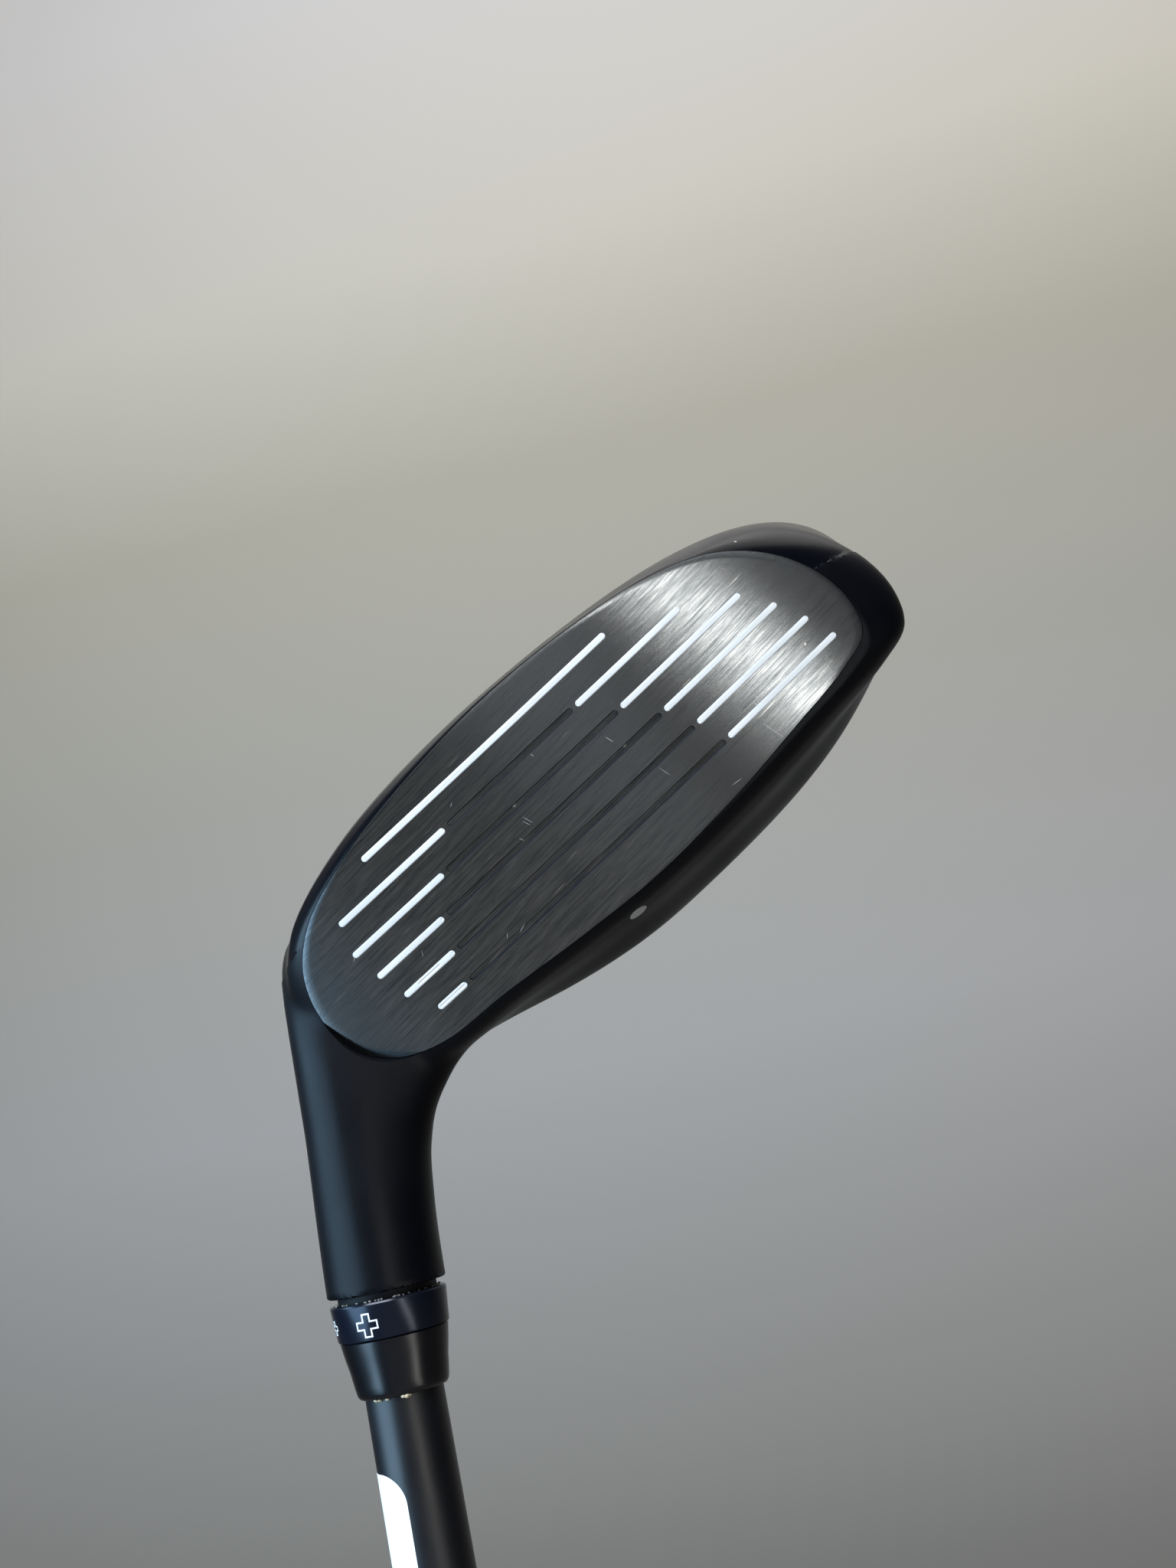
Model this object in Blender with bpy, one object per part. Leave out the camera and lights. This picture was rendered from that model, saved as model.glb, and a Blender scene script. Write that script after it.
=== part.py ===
"""Hybrid golf club with an adjustable hosel, stored head up.

The shaft lies along +Z with the flat butt of the grip at the origin and the head at the top.
The face looks toward -Y, the toe points to +X and up.

The head is drawn the way it stands at address, in millimetres: h toward the heel, u up and
t toward the target, from the centre of the face. ADDRESS turns those points onto the shaft.
"""
import math

import bmesh
import bpy
import numpy as np
from mathutils import Matrix, Vector

MM = 0.001
GAP = 0.3                      # clearance between touching pieces
MERGE = 0.00001                # points closer than this are one point, in metres

# Head at address
LOFT = math.radians(21.5)
LIE = math.radians(59.5)
BULGE = 300.0                  # radius of the face, both ways
SHAFT_H = 36.8                 # where the shaft axis passes the middle of the face
SHAFT_N = -10.6                # and how far behind the face it passes there
FACE_THICK = 1.6
FACE_RIM = 0.9                 # thickness of the face insert at its rim

# Score lines, along the face
ROW_PITCH = 4.07
SLOT_WIDTH = 0.75
SLOT_DEPTH = 0.4
LOW_ROW = (-20.0, 21.5)        # the lowest row is one slot
TOE_ENDS = (-29.2, -36.1, -38.8, -40.7, -42.0)
HEEL_ENDS = (29.3, 30.8, 30.4, 29.6, 27.6)
INNER_ENDS = (11.3, 15.3, 19.1, 21.1, 22.8)
LAND = 1.4                     # between the ends of neighbouring slots in a row

# Heights along the shaft, from the butt
CLUB_CENTRE = 988.6            # where the shaft axis passes the middle of the face
HOSEL_END = CLUB_CENTRE - 38.9
RING_TOP = HOSEL_END - 0.9
RING_FOOT = RING_TOP - 4.5
FERRULE_FOOT = RING_FOOT - 7.1
BORE_FLOOR = CLUB_CENTRE - 14.0
SEAT_WEB = 2.5
THREAD_DEPTH = 6.5
SHAFT_BUTT = 4.6
GRIP_LENGTH = 268.0
LABEL_TOP = CLUB_CENTRE - 60.2
LABEL_LENGTH = 70.0
LABEL_EDGES = (138.0, 264.5)   # degrees round the shaft

# Radii
HOSEL_R = 7.55
HOSEL_BORE = 5.9
SLEEVE_R = 5.6
COLLAR_R = 6.3
COLLAR_LENGTH = 5.0
RING_R = 7.4
RING_FOOT_R = 7.05
FERRULE_R = 6.85
FERRULE_FOOT_R = 5.75
TIP_R = 4.75
FERRULE_SHAFT_R = 4.95         # of the shaft where it leaves the ferrule
BUTT_R = 7.6
SCREW_R = 2.5
SCREW_HEAD_R = 3.8
SCREW_HEAD = 4.0
WASHER = 1.0
PORT_R = 4.4
GRIP_R = 13.3
GRIP_MOUTH_R = 9.9
GRIP_CAP = 4.0
TAPE = 0.3

# Rear weight at address: middle of its outer face, and how far its axis leans back
WEIGHT_AT = (-9.0, -17.2, -41.0)
WEIGHT_LEAN = math.radians(14)
WEIGHT_R = 6.0
WEIGHT_SHANK_R = 5.0
WEIGHT_FLANGE = 2.6
WEIGHT_LENGTH = 9.0
GASKET = 0.6

BLACK = (0.012, 0.013, 0.016)


def address_matrix():
    """Turns points at address, in millimetres, into the club's own frame in metres."""
    axis_u = SHAFT_N * math.sin(LOFT)
    axis_t = SHAFT_N * math.cos(LOFT)
    turn = Matrix((
        (-math.sin(LIE), math.cos(LIE), 0.0, 0.0),
        (0.0, 0.0, -1.0, 0.0),
        (-math.cos(LIE), -math.sin(LIE), 0.0, 0.0),
        (0.0, 0.0, 0.0, 1.0)))
    to_axis = Matrix.Translation((-SHAFT_H, -axis_u, -axis_t))
    lift = Matrix.Translation((0.0, 0.0, CLUB_CENTRE))
    return Matrix.Scale(MM, 4) @ lift @ turn @ to_axis


ADDRESS = address_matrix()

# The face insert's outline: x toward the heel, v up the face
FACE_OUTLINE = (
    (-3.0, -14.7), (-16.9, -13.8), (-28.9, -11.6), (-36.8, -8.4), (-42.4, -3.3), (-45.6, 2.8),
    (-46.3, 8.5), (-44.8, 12.6), (-40.0, 14.2), (-30.0, 15.3), (-18.0, 16.4), (-4.0, 16.8),
    (8.0, 15.9), (20.0, 14.6), (30.0, 13.9), (35.6, 11.6), (38.9, 7.6), (39.6, 1.8),
    (37.3, -4.4), (32.0, -9.0), (22.0, -12.2), (10.0, -14.0))
FACE_TOE, FACE_HEEL, FACE_TOP, FACE_FOOT = -46.3, 39.6, 16.8, -14.7

# The head's sections from the face back: depth, share of the loft, reach to the toe and the
# heel, height of the crown and the sole, and how far the outline has turned into the round
# outline of the rear
SECTIONS = (
    (0.0, 1.00, -46.3, 39.6, 15.6, -13.7, 0.00),
    (1.0, 1.00, -49.2, 41.0, 16.4, -14.3, 0.02),
    (3.5, 0.95, -52.3, 42.0, 16.9, -15.1, 0.10),
    (9.0, 0.80, -53.2, 42.3, 17.3, -17.2, 0.47),
    (19.0, 0.55, -53.5, 40.5, 18.1, -18.5, 1.0),
    (32.0, 0.30, -50.8, 34.5, 15.6, -18.4, 1.0),
    (45.0, 0.12, -41.5, 24.0, 10.0, -16.4, 1.0),
    (54.0, 0.04, -29.0, 11.0, 3.0, -12.8, 1.0),
    (58.5, 0.00, -10.5, -8.0, -5.0, -6.6, 1.0))
# Squareness of the round outline, toe and heel, sole and crown side
TOE_LOW, TOE_HIGH, HEEL_LOW, HEEL_HIGH = 2.62, 2.55, 2.5, 1.85
HEEL_SWELL = 2.3               # extra fullness at the foot of the heel

# The hosel's sections along the shaft, from the middle of the face: height toward the grip,
# then reach toward the toe, the heel, the front and the back
HOSEL_SECTIONS = (
    (-8.5, 2.5, 2.5, 2.5, 2.5),
    (-7.0, 4.8, 4.8, 4.8, 5.0),
    (-4.0, 6.8, 6.4, 6.4, 6.8),
    (0.0, 11.0, 6.9, 6.7, 8.4),
    (5.0, 18.6, 6.95, 6.9, 9.0),
    (8.2, 20.4, 6.95, 7.0, 9.0),
    (10.2, 17.4, 6.95, 7.05, 8.7),
    (12.8, 14.2, 6.95, 7.1, 8.2),
    (15.2, 12.1, 6.95, 7.15, 7.9),
    (18.0, 10.3, 6.95, 7.2, 7.7),
    (22.0, 8.9, 7.05, 7.3, 7.6),
    (29.0, 7.95, 7.3, 7.45, 7.5),
    (36.0, 7.6, 7.5, 7.5, 7.5),
    (38.9, 7.55, 7.55, 7.55, 7.55))


def hermite(x, knots, values):
    """A smooth curve through the values at the knots."""
    knots = np.asarray(knots, float)
    values = np.asarray(values, float)
    slopes = np.diff(values) / np.diff(knots)
    widths = np.diff(knots)
    tangents = np.empty(len(knots))
    tangents[0], tangents[-1] = slopes[0], slopes[-1]
    tangents[1:-1] = (slopes[:-1] * widths[1:] + slopes[1:] * widths[:-1]) / (widths[1:] + widths[:-1])
    i = np.clip(np.searchsorted(knots, x, side="right") - 1, 0, len(knots) - 2)
    s = (x - knots[i]) / widths[i]
    start = values[i] * (2 * s**3 - 3 * s**2 + 1) + values[i + 1] * (3 * s**2 - 2 * s**3)
    bend = tangents[i] * (s**3 - 2 * s**2 + s) + tangents[i + 1] * (s**3 - s**2)
    return start + bend * widths[i]


def evenly(count):
    return np.arange(count) / count


def closed_curve(points, shares):
    """Points at shares from 0 to 1 of the way round a smooth closed curve."""
    ring = np.array(points, float)
    wrapped = np.vstack([ring[-3:], ring, ring[:4]])
    steps = np.linalg.norm(np.diff(wrapped, axis=0), axis=1) ** 0.5
    knots = np.concatenate([[0.0], np.cumsum(steps)])
    at = knots[3] + np.asarray(shares) * (knots[3 + len(ring)] - knots[3])
    return np.column_stack([hermite(at, knots, wrapped[:, 0]), hermite(at, knots, wrapped[:, 1])])


def grown(curve, amount):
    """The closed curve pushed outward by an amount, or inward where it is negative."""
    along = np.roll(curve, -1, axis=0) - np.roll(curve, 1, axis=0)
    normal = np.column_stack([along[:, 1], -along[:, 0]])
    normal /= np.linalg.norm(normal, axis=1)[:, None]
    centre = curve.mean(axis=0)
    if np.sum(normal * (curve - centre)) < 0:
        normal = -normal
    return curve + amount * normal


def on_face(curve, lift):
    """Points at address for x and v on the curved face, lifted off it by an amount."""
    x, v = curve[:, 0], curve[:, 1]
    n = lift - (x**2 + v**2) / (2 * BULGE)
    up = v * math.cos(LOFT) + n * math.sin(LOFT)
    front = n * math.cos(LOFT) - v * math.sin(LOFT)
    return np.column_stack([x, up, front])


def head_ring(station, shares, wall=0.0):
    """Points on one section of the head, at a station from 0 at the face to 1 at the rear."""
    table = np.array(SECTIONS)
    steps = np.hypot(np.diff(table[:, 0]), 0.6 * np.diff(table[:, 2]))
    knots = np.concatenate([[0.0], np.cumsum(steps)])
    at = np.array([station * knots[-1]])
    depth, lean, toe, heel, crown, sole, turned = (
        float(hermite(at, knots, table[:, i])[0]) for i in range(7))
    middle = (FACE_TOE + FACE_HEEL) / 2
    curve = closed_curve(FACE_OUTLINE, shares)
    toeward = curve[:, 0] < middle
    a = (curve[:, 0] - middle) / np.where(toeward, middle - FACE_TOE, FACE_HEEL - middle)
    b = curve[:, 1] / np.where(curve[:, 1] < 0, -FACE_FOOT, FACE_TOP)
    angle = np.arctan2(b, a)
    toe_share = 0.5 - 0.5 * np.tanh(4 * np.cos(angle))
    low_share = 0.5 - 0.5 * np.tanh(4 * np.sin(angle))
    square = toe_share * (low_share * TOE_LOW + (1 - low_share) * TOE_HIGH)
    square += (1 - toe_share) * (low_share * HEEL_LOW + (1 - low_share) * HEEL_HIGH)
    reach = (np.abs(np.cos(angle))**square + np.abs(np.sin(angle))**square) ** (-1 / square)
    a = a * (1 - turned) + reach * np.cos(angle) * turned
    b = b * (1 - turned) + reach * np.sin(angle) * turned
    toe, heel = toe + wall, heel - wall
    crown, sole = crown - wall, sole + wall
    h_mid = (toe + heel) / 2
    u_mid = (crown + sole) / 2 - (SECTIONS[0][4] + SECTIONS[0][5]) / 2
    h = np.where(a < 0, h_mid - a * (toe - h_mid), h_mid + a * (heel - h_mid))
    u = np.where(b < 0, u_mid - b * (sole - u_mid), u_mid + b * (crown - u_mid))
    foot_of_heel = np.clip(np.cos(angle + math.radians(38)), 0, 1) ** 4
    swell = HEEL_SWELL * foot_of_heel * min(1.0, depth / 3.5) * (1 - station)
    h += swell * np.cos(angle)
    u += swell * np.sin(angle)
    curved = max(0.0, 1 - depth / 40) * (h**2 + (u / math.cos(LOFT))**2) / (2 * BULGE * math.cos(LOFT))
    t = -depth - lean * u * math.tan(LOFT) - curved
    return np.column_stack([h, u, t])


def mesh_of(name, points, faces):
    """A clean mesh with its doubled points merged and its faces outward."""
    mesh = bpy.data.meshes.new(name)
    mesh.from_pydata([tuple(p) for p in points], [], [tuple(f) for f in faces])
    shape = bmesh.new()
    shape.from_mesh(mesh)
    bmesh.ops.remove_doubles(shape, verts=shape.verts, dist=MERGE)
    bmesh.ops.dissolve_degenerate(shape, edges=shape.edges, dist=MERGE / 10)
    bmesh.ops.recalc_face_normals(shape, faces=shape.faces)
    shape.to_mesh(mesh)
    shape.free()
    return mesh


def loft(name, rings, matrix):
    """A closed solid through rings of equal count, with a fan over each end."""
    count = len(rings[0])
    points = [matrix @ Vector(p) for ring in rings for p in ring]
    faces = []
    for i in range(len(rings) - 1):
        for j in range(count):
            k = (j + 1) % count
            faces.append((i * count + j, i * count + k, (i + 1) * count + k, (i + 1) * count + j))
    for i, ring in ((0, rings[0]), (len(rings) - 1, rings[-1])):
        points.append(matrix @ Vector(np.mean(ring, axis=0)))
        faces += [(i * count + j, i * count + (j + 1) % count, len(points) - 1) for j in range(count)]
    return new_object(name, mesh_of(name, points, faces))


def new_object(name, mesh):
    made = bpy.data.objects.new(name, mesh)
    bpy.context.scene.collection.objects.link(made)
    return made


def lathe(name, profile, segments=32, matrix=Matrix.Scale(MM, 4)):
    """A solid turned about Z from radius and height pairs that run round its section."""
    points, faces = [], []
    for radius, height in profile:
        for j in range(segments):
            turn = 2 * math.pi * j / segments
            points.append(matrix @ Vector((radius * math.cos(turn), radius * math.sin(turn), height)))
    count = len(profile)
    closed = all(radius > 0 for radius, height in profile)
    for i in range(count if closed else count - 1):
        for j in range(segments):
            k = (j + 1) % segments
            n = (i + 1) % count
            faces.append((i * segments + j, i * segments + k, n * segments + k, n * segments + j))
    return new_object(name, mesh_of(name, points, faces))


def combine(target, other, operation):
    """Joins, cuts or crosses the target with another closed solid, which is used up."""
    change = target.modifiers.new("combine", "BOOLEAN")
    change.operation = operation
    change.solver = "EXACT"
    change.object = other
    graph = bpy.context.evaluated_depsgraph_get()
    result = bpy.data.meshes.new_from_object(target.evaluated_get(graph))
    target.modifiers.clear()
    target.data = result
    bpy.data.objects.remove(other, do_unlink=True)


def finish(part, colour, roughness, metallic, origin=(0.0, 0.0, 0.0), smooth=35):
    """Gives the part its origin, its shading and its material."""
    part.data.transform(Matrix.Translation(-Vector(origin)))
    part.location = origin
    part.data.shade_smooth()
    part.data.set_sharp_from_angle(angle=math.radians(smooth))
    finish_of = bpy.data.materials.new(part.name)
    finish_of.use_nodes = True
    surface = finish_of.node_tree.nodes["Principled BSDF"]
    surface.inputs["Base Color"].default_value = (*colour, 1.0)
    surface.inputs["Roughness"].default_value = roughness
    surface.inputs["Metallic"].default_value = metallic
    part.data.materials.clear()
    part.data.materials.append(finish_of)
    return part


# ---------------------------------------------------------------- head

HEAD_ORIGIN = (0.0, 0.0, HOSEL_END * MM)
HEAD_COUNT = 44
HEAD_STATIONS = (0.0, 0.02, 0.05, 0.09, 0.14, 0.2, 0.28, 0.37, 0.47, 0.57, 0.67, 0.76, 0.84, 0.91,
                 0.96, 1.0)
HEAD_WALL = 2.1
HEEL_BLOCK = 26.0              # the heel is solid from here on, round the hosel's bores
CROWN_STATIONS = (0.12, 0.80)  # the crown shell's front and rear edges
CROWN_SHARES = (0.25, 0.59)    # and its toe and heel edges, round the section
CROWN_WALL = 0.9
LEDGE = 0.035                  # width of the ledge that carries the crown shell
SLIT = 0.004                   # gap round the crown shell


def face_solid(name, growth, front, rim_back, back):
    """The face outline made solid behind the curved face, thinner round its rim."""
    rim = grown(closed_curve(FACE_OUTLINE, evenly(HEAD_COUNT)), growth)
    centre = rim.mean(axis=0)
    rings = [on_face(centre + (rim - centre) * share, front) for share in (0.05, 0.35, 0.7, 1.0)]
    rings += [on_face(rim, rim_back), on_face(centre + (rim - centre) * 0.85, back)]
    rings += [on_face(centre + (rim - centre) * 0.05, back)]
    return loft(name, rings, ADDRESS)


def slot_cutter(start, end, v):
    """One score line's slot with round ends, cut square into the face."""
    half = SLOT_WIDTH / 2
    outline = []
    for centre, first in ((end - half, -90), (start + half, 90)):
        for step in range(4):
            turn = math.radians(first + 60 * step)
            outline.append((centre + half * math.cos(turn), v + half * math.sin(turn)))
    outline = np.array(outline)
    return loft("slot", [on_face(outline, 1.0), on_face(outline, -SLOT_DEPTH)], ADDRESS)


def score_lines():
    """Start, end and height of every slot: one low row, then rows of three slots."""
    rows = [(LOW_ROW[0], LOW_ROW[1], -2.5 * ROW_PITCH)]
    for i, (toe, heel, inner) in enumerate(zip(TOE_ENDS, HEEL_ENDS, INNER_ENDS)):
        v = (i - 1.5) * ROW_PITCH
        rows += [(toe, -inner, v), (LAND / 2 - inner, inner - LAND / 2, v), (inner, heel, v)]
    return rows


def make_face_plate():
    plate = face_solid("face_plate", -GAP / 2, 0.0, -FACE_RIM, -FACE_THICK)
    for start, end, v in score_lines():
        combine(plate, slot_cutter(start, end, v), "DIFFERENCE")
    return finish(plate, (0.16, 0.165, 0.17), 0.35, 1.0, HEAD_ORIGIN)


def crown_piece(name, margin, outer, inner):
    """The crown's area made solid between two depths below the head's surface.

    A positive margin grows the area on all sides, as a share of the way round.
    """
    stations = np.linspace(CROWN_STATIONS[0] - margin, CROWN_STATIONS[1] + margin, 10)
    shares = np.linspace(CROWN_SHARES[0] - margin * 0.4, CROWN_SHARES[1] + margin * 0.4, 14)
    rings = []
    for station in stations:
        above = head_ring(station, shares, outer)
        below = head_ring(station, shares, inner)
        rings.append(np.vstack([above, below[::-1]]))
    return loft_open(name, rings, ADDRESS)


def loft_open(name, rings, matrix):
    """A closed solid through flat-sided rings, each end closed by strips across the ring."""
    count = len(rings[0])
    points = [matrix @ Vector(p) for ring in rings for p in ring]
    faces = []
    for i in range(len(rings) - 1):
        for j in range(count):
            k = (j + 1) % count
            faces.append((i * count + j, i * count + k, (i + 1) * count + k, (i + 1) * count + j))
    for first in (0, (len(rings) - 1) * count):
        for j in range(count // 2 - 1):
            far = count - 1 - j
            faces.append((first + j, first + j + 1, first + far - 1, first + far))
    return new_object(name, mesh_of(name, points, faces))


def make_crown_shell():
    shell = crown_piece("crown_shell", 0.0, 0.0, CROWN_WALL)
    return finish(shell, BLACK, 0.42, 0.0, HEAD_ORIGIN)


def hosel_solid():
    """The hosel and its flare into the heel."""
    table = np.array(HOSEL_SECTIONS)
    heights = np.concatenate([np.linspace(-8.5, 6.0, 8), np.linspace(7.5, 22.0, 12), (29.0, 36.0, 38.9)])
    rings = []
    for height in heights:
        toe, heel, front, back = (float(hermite(np.array([height]), table[:, 0], table[:, i])[0])
                                  for i in range(1, 5))
        ring = []
        for j in range(32):
            turn = 2 * math.pi * j / 32
            nose = max(0.0, math.cos(turn)) * max(0.0, toe - HOSEL_R)
            x = math.cos(turn) * (toe if math.cos(turn) > 0 else heel)
            y = math.sin(turn) * (back if math.sin(turn) > 0 else front) * (1 - 0.03 * nose)
            y += 0.3 * nose * math.cos(turn)
            ring.append((x, y, CLUB_CENTRE - height))
        rings.append(ring)
    return loft("hosel", rings, Matrix.Scale(MM, 4))


def weight_matrix():
    """Frame of the rear weight: Z points out of the sole, from the middle of its outer face."""
    out = Vector((0.0, -math.cos(WEIGHT_LEAN), -math.sin(WEIGHT_LEAN)))
    turn = Vector((0.0, 0.0, 1.0)).rotation_difference(out).to_matrix().to_4x4()
    return ADDRESS @ Matrix.Translation(WEIGHT_AT) @ turn


def cylinder(radius, low, high, matrix=Matrix.Scale(MM, 4), segments=32):
    return lathe("cutter", ((0.0, low), (radius, low), (radius, high), (0.0, high)), segments, matrix)


def cavity():
    """The hollow of the head, open to the face, with the rear weight's boss left standing."""
    shares = evenly(HEAD_COUNT)
    mouth = grown(closed_curve(FACE_OUTLINE, shares), -2.8)
    rings = [on_face(mouth, 1.0), on_face(mouth, -FACE_THICK - 2 * GAP)]
    rings += [head_ring(station, shares, HEAD_WALL) for station in (0.09, 0.2, 0.35, 0.5, 0.65, 0.8, 0.9)]
    for ring in rings:
        ring[:, 0] = np.minimum(ring[:, 0], HEEL_BLOCK)
    hollow = loft("cavity", rings, ADDRESS)
    combine(hollow, cylinder(WEIGHT_R + 2.0, -WEIGHT_LENGTH - 2.0, 8.0, weight_matrix()), "DIFFERENCE")
    return hollow


def make_head_body():
    body = loft("head_body", [head_ring(at, evenly(HEAD_COUNT)) for at in HEAD_STATIONS], ADDRESS)
    combine(body, hosel_solid(), "UNION")
    combine(body, cavity(), "DIFFERENCE")
    combine(body, face_solid("pocket", GAP / 2, 3.0, -FACE_RIM - GAP, -FACE_THICK - GAP), "DIFFERENCE")
    combine(body, crown_piece("pocket", SLIT, -2.0, CROWN_WALL + GAP), "DIFFERENCE")
    combine(body, crown_piece("opening", -LEDGE, -2.0, 6.0), "DIFFERENCE")
    combine(body, cylinder(COLLAR_R + GAP, HOSEL_END - 1.0, HOSEL_END + COLLAR_LENGTH + GAP), "DIFFERENCE")
    combine(body, cylinder(HOSEL_BORE, HOSEL_END - 1.0, BORE_FLOOR), "DIFFERENCE")
    combine(body, cylinder(SCREW_R + 0.4, BORE_FLOOR - 1.0, BORE_FLOOR + 5.0), "DIFFERENCE")
    combine(body, cylinder(PORT_R, BORE_FLOOR + SEAT_WEB, CLUB_CENTRE + 20.0), "DIFFERENCE")
    seat = -WEIGHT_FLANGE - GASKET - 2 * GAP
    combine(body, cylinder(WEIGHT_R + GAP, seat, 6.0, weight_matrix()), "DIFFERENCE")
    combine(body, cylinder(WEIGHT_SHANK_R + GAP, -WEIGHT_LENGTH - 1.0, 6.0, weight_matrix()), "DIFFERENCE")
    return finish(body, BLACK, 0.4, 0.3, HEAD_ORIGIN)


# ---------------------------------------------------------------- hosel screw and rear weight

def make_hosel_screw():
    foot = BORE_FLOOR - THREAD_DEPTH + 0.1
    seat = BORE_FLOOR + SEAT_WEB + WASHER + 2 * GAP
    top = seat + SCREW_HEAD
    screw = lathe("hosel_screw", (
        (0.0, foot), (SCREW_R - 0.5, foot), (SCREW_R, foot + 0.5), (SCREW_R, seat),
        (SCREW_HEAD_R, seat), (SCREW_HEAD_R, top - 0.4), (SCREW_HEAD_R - 0.4, top),
        (1.9, top), (1.9, top - 2.5), (0.0, top - 2.5)), 16)
    return finish(screw, (0.5, 0.5, 0.52), 0.35, 1.0, (0.0, 0.0, seat * MM))


def ring_part(name, inner, outer, low, high, matrix=Matrix.Scale(MM, 4), segments=20):
    return lathe(name, ((inner, low), (outer, low), (outer, high), (inner, high)), segments, matrix)


def make_screw_washer():
    low = BORE_FLOOR + SEAT_WEB + GAP
    washer = ring_part("screw_washer", SCREW_R + GAP, SCREW_HEAD_R + 0.2, low, low + WASHER)
    return finish(washer, (0.55, 0.55, 0.57), 0.3, 1.0, (0.0, 0.0, low * MM))


def make_screw_retainer():
    low = BORE_FLOOR + SEAT_WEB + WASHER + SCREW_HEAD + 2 * GAP + 0.7
    ring = ring_part("screw_retainer", 3.0, PORT_R - GAP, low, low + 1.0)
    return finish(ring, (0.03, 0.03, 0.03), 0.6, 0.0, HEAD_ORIGIN)


def make_rear_weight():
    frame = weight_matrix()
    weight = lathe("rear_weight", (
        (0.0, -WEIGHT_LENGTH), (WEIGHT_SHANK_R - 0.6, -WEIGHT_LENGTH),
        (WEIGHT_SHANK_R, -WEIGHT_LENGTH + 0.6), (WEIGHT_SHANK_R, -WEIGHT_FLANGE),
        (WEIGHT_R, -WEIGHT_FLANGE), (WEIGHT_R, -0.4), (WEIGHT_R - 0.4, 0.0),
        (2.3, 0.0), (2.3, -3.0), (0.0, -3.0)), 24, frame)
    return finish(weight, (0.3, 0.3, 0.31), 0.3, 1.0, frame.translation)


def make_weight_gasket():
    frame = weight_matrix()
    high = -WEIGHT_FLANGE - GAP
    gasket = ring_part("weight_gasket", WEIGHT_SHANK_R + GAP, WEIGHT_R, high - GASKET, high, frame, 24)
    return finish(gasket, (0.02, 0.02, 0.02), 0.7, 0.0, frame.translation)


# ---------------------------------------------------------------- shaft assembly

SLEEVE_TIP = BORE_FLOOR - GAP
SHAFT_TIP = BORE_FLOOR - THREAD_DEPTH - 1.1


def shaft_radius(height):
    """The shaft's outer radius at a height above the butt."""
    heights = (0.0, 260.0, 880.0, FERRULE_FOOT, 967.0)
    radii = (BUTT_R, 7.45, FERRULE_SHAFT_R + 0.1, FERRULE_SHAFT_R, TIP_R)
    return float(np.interp(height, heights, radii))


def make_hosel_sleeve():
    bore = TIP_R + GAP
    collar = HOSEL_END + COLLAR_LENGTH
    sleeve = lathe("hosel_sleeve", (
        (SCREW_R + GAP, SLEEVE_TIP), (SLEEVE_R - 0.5, SLEEVE_TIP), (SLEEVE_R, SLEEVE_TIP - 0.5),
        (SLEEVE_R, collar), (COLLAR_R, collar), (COLLAR_R, RING_TOP), (RING_R - 0.35, RING_TOP),
        (RING_R, RING_TOP - 0.35), (RING_FOOT_R, RING_FOOT + 0.2), (RING_FOOT_R - 0.2, RING_FOOT),
        (bore, RING_FOOT), (bore, SHAFT_TIP + GAP), (SCREW_R + GAP, SHAFT_TIP + GAP)), 28)
    return finish(sleeve, (0.02, 0.021, 0.024), 0.32, 0.8)


def make_ferrule():
    top = RING_FOOT - GAP
    low = FERRULE_FOOT
    bore = FERRULE_SHAFT_R + GAP
    ferrule = lathe("ferrule", (
        (bore, top), (FERRULE_R - 0.15, top), (FERRULE_R, top - 0.2), (6.2, top - 3.6),
        (FERRULE_FOOT_R + 0.08, low + 0.6), (FERRULE_FOOT_R, low + 0.2), (5.55, low), (bore, low)), 28)
    return finish(ferrule, (0.012, 0.012, 0.014), 0.3, 0.0)


def make_shaft():
    heights = (SHAFT_TIP, FERRULE_FOOT, 880.0, 570.0, 260.0, SHAFT_BUTT)
    outside = [(shaft_radius(z), z) for z in heights]
    inside = [(5.9, SHAFT_BUTT), (5.7, 260.0), (3.4, 900.0), (2.7, SHAFT_TIP)]
    shaft = lathe("shaft", outside + inside, 28)
    return finish(shaft, (0.02, 0.02, 0.022), 0.35, 0.2)


def make_tip_plug():
    plug = lathe("tip_plug", ((0.0, 936.0), (2.3, 936.0), (2.3, 944.0), (0.0, 944.0)), 12)
    return finish(plug, (0.75, 0.7, 0.55), 0.9, 0.0)


def make_shaft_label():
    """A blank sticker with round corners, wrapped part of the way round the shaft."""
    corner = 3.0
    low, high = LABEL_TOP - LABEL_LENGTH, LABEL_TOP
    first, last = (math.radians(edge) for edge in LABEL_EDGES)
    rows = [low, low + corner * 0.3, low + corner, high - corner, high - corner * 0.3, high]
    rings = []
    for z in rows:
        radius = shaft_radius(z) + GAP
        from_end = min(z - low, high - z, corner)
        inset = corner - math.sqrt(max(0.0, corner**2 - (corner - from_end)**2))
        turns = np.linspace(first + inset / radius, last - inset / radius, 14)
        inner = np.column_stack([radius * np.cos(turns), radius * np.sin(turns), np.full(14, z)])
        outer = inner * ((radius + 0.2) / radius, (radius + 0.2) / radius, 1.0)
        rings.append(np.vstack([outer, inner[::-1]]))
    label = loft_open("shaft_label", rings, Matrix.Scale(MM, 4))
    return finish(label, (0.8, 0.8, 0.79), 0.5, 0.0)


def make_grip_tape():
    heights = (SHAFT_BUTT + 2.0, 130.0, GRIP_LENGTH - 6.0)
    outside = [(shaft_radius(z) + GAP + TAPE, z) for z in heights]
    inside = [(shaft_radius(z) + GAP, z) for z in reversed(heights)]
    tape = lathe("grip_tape", outside + inside, 24)
    return finish(tape, (0.6, 0.55, 0.42), 0.8, 0.0)


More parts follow.
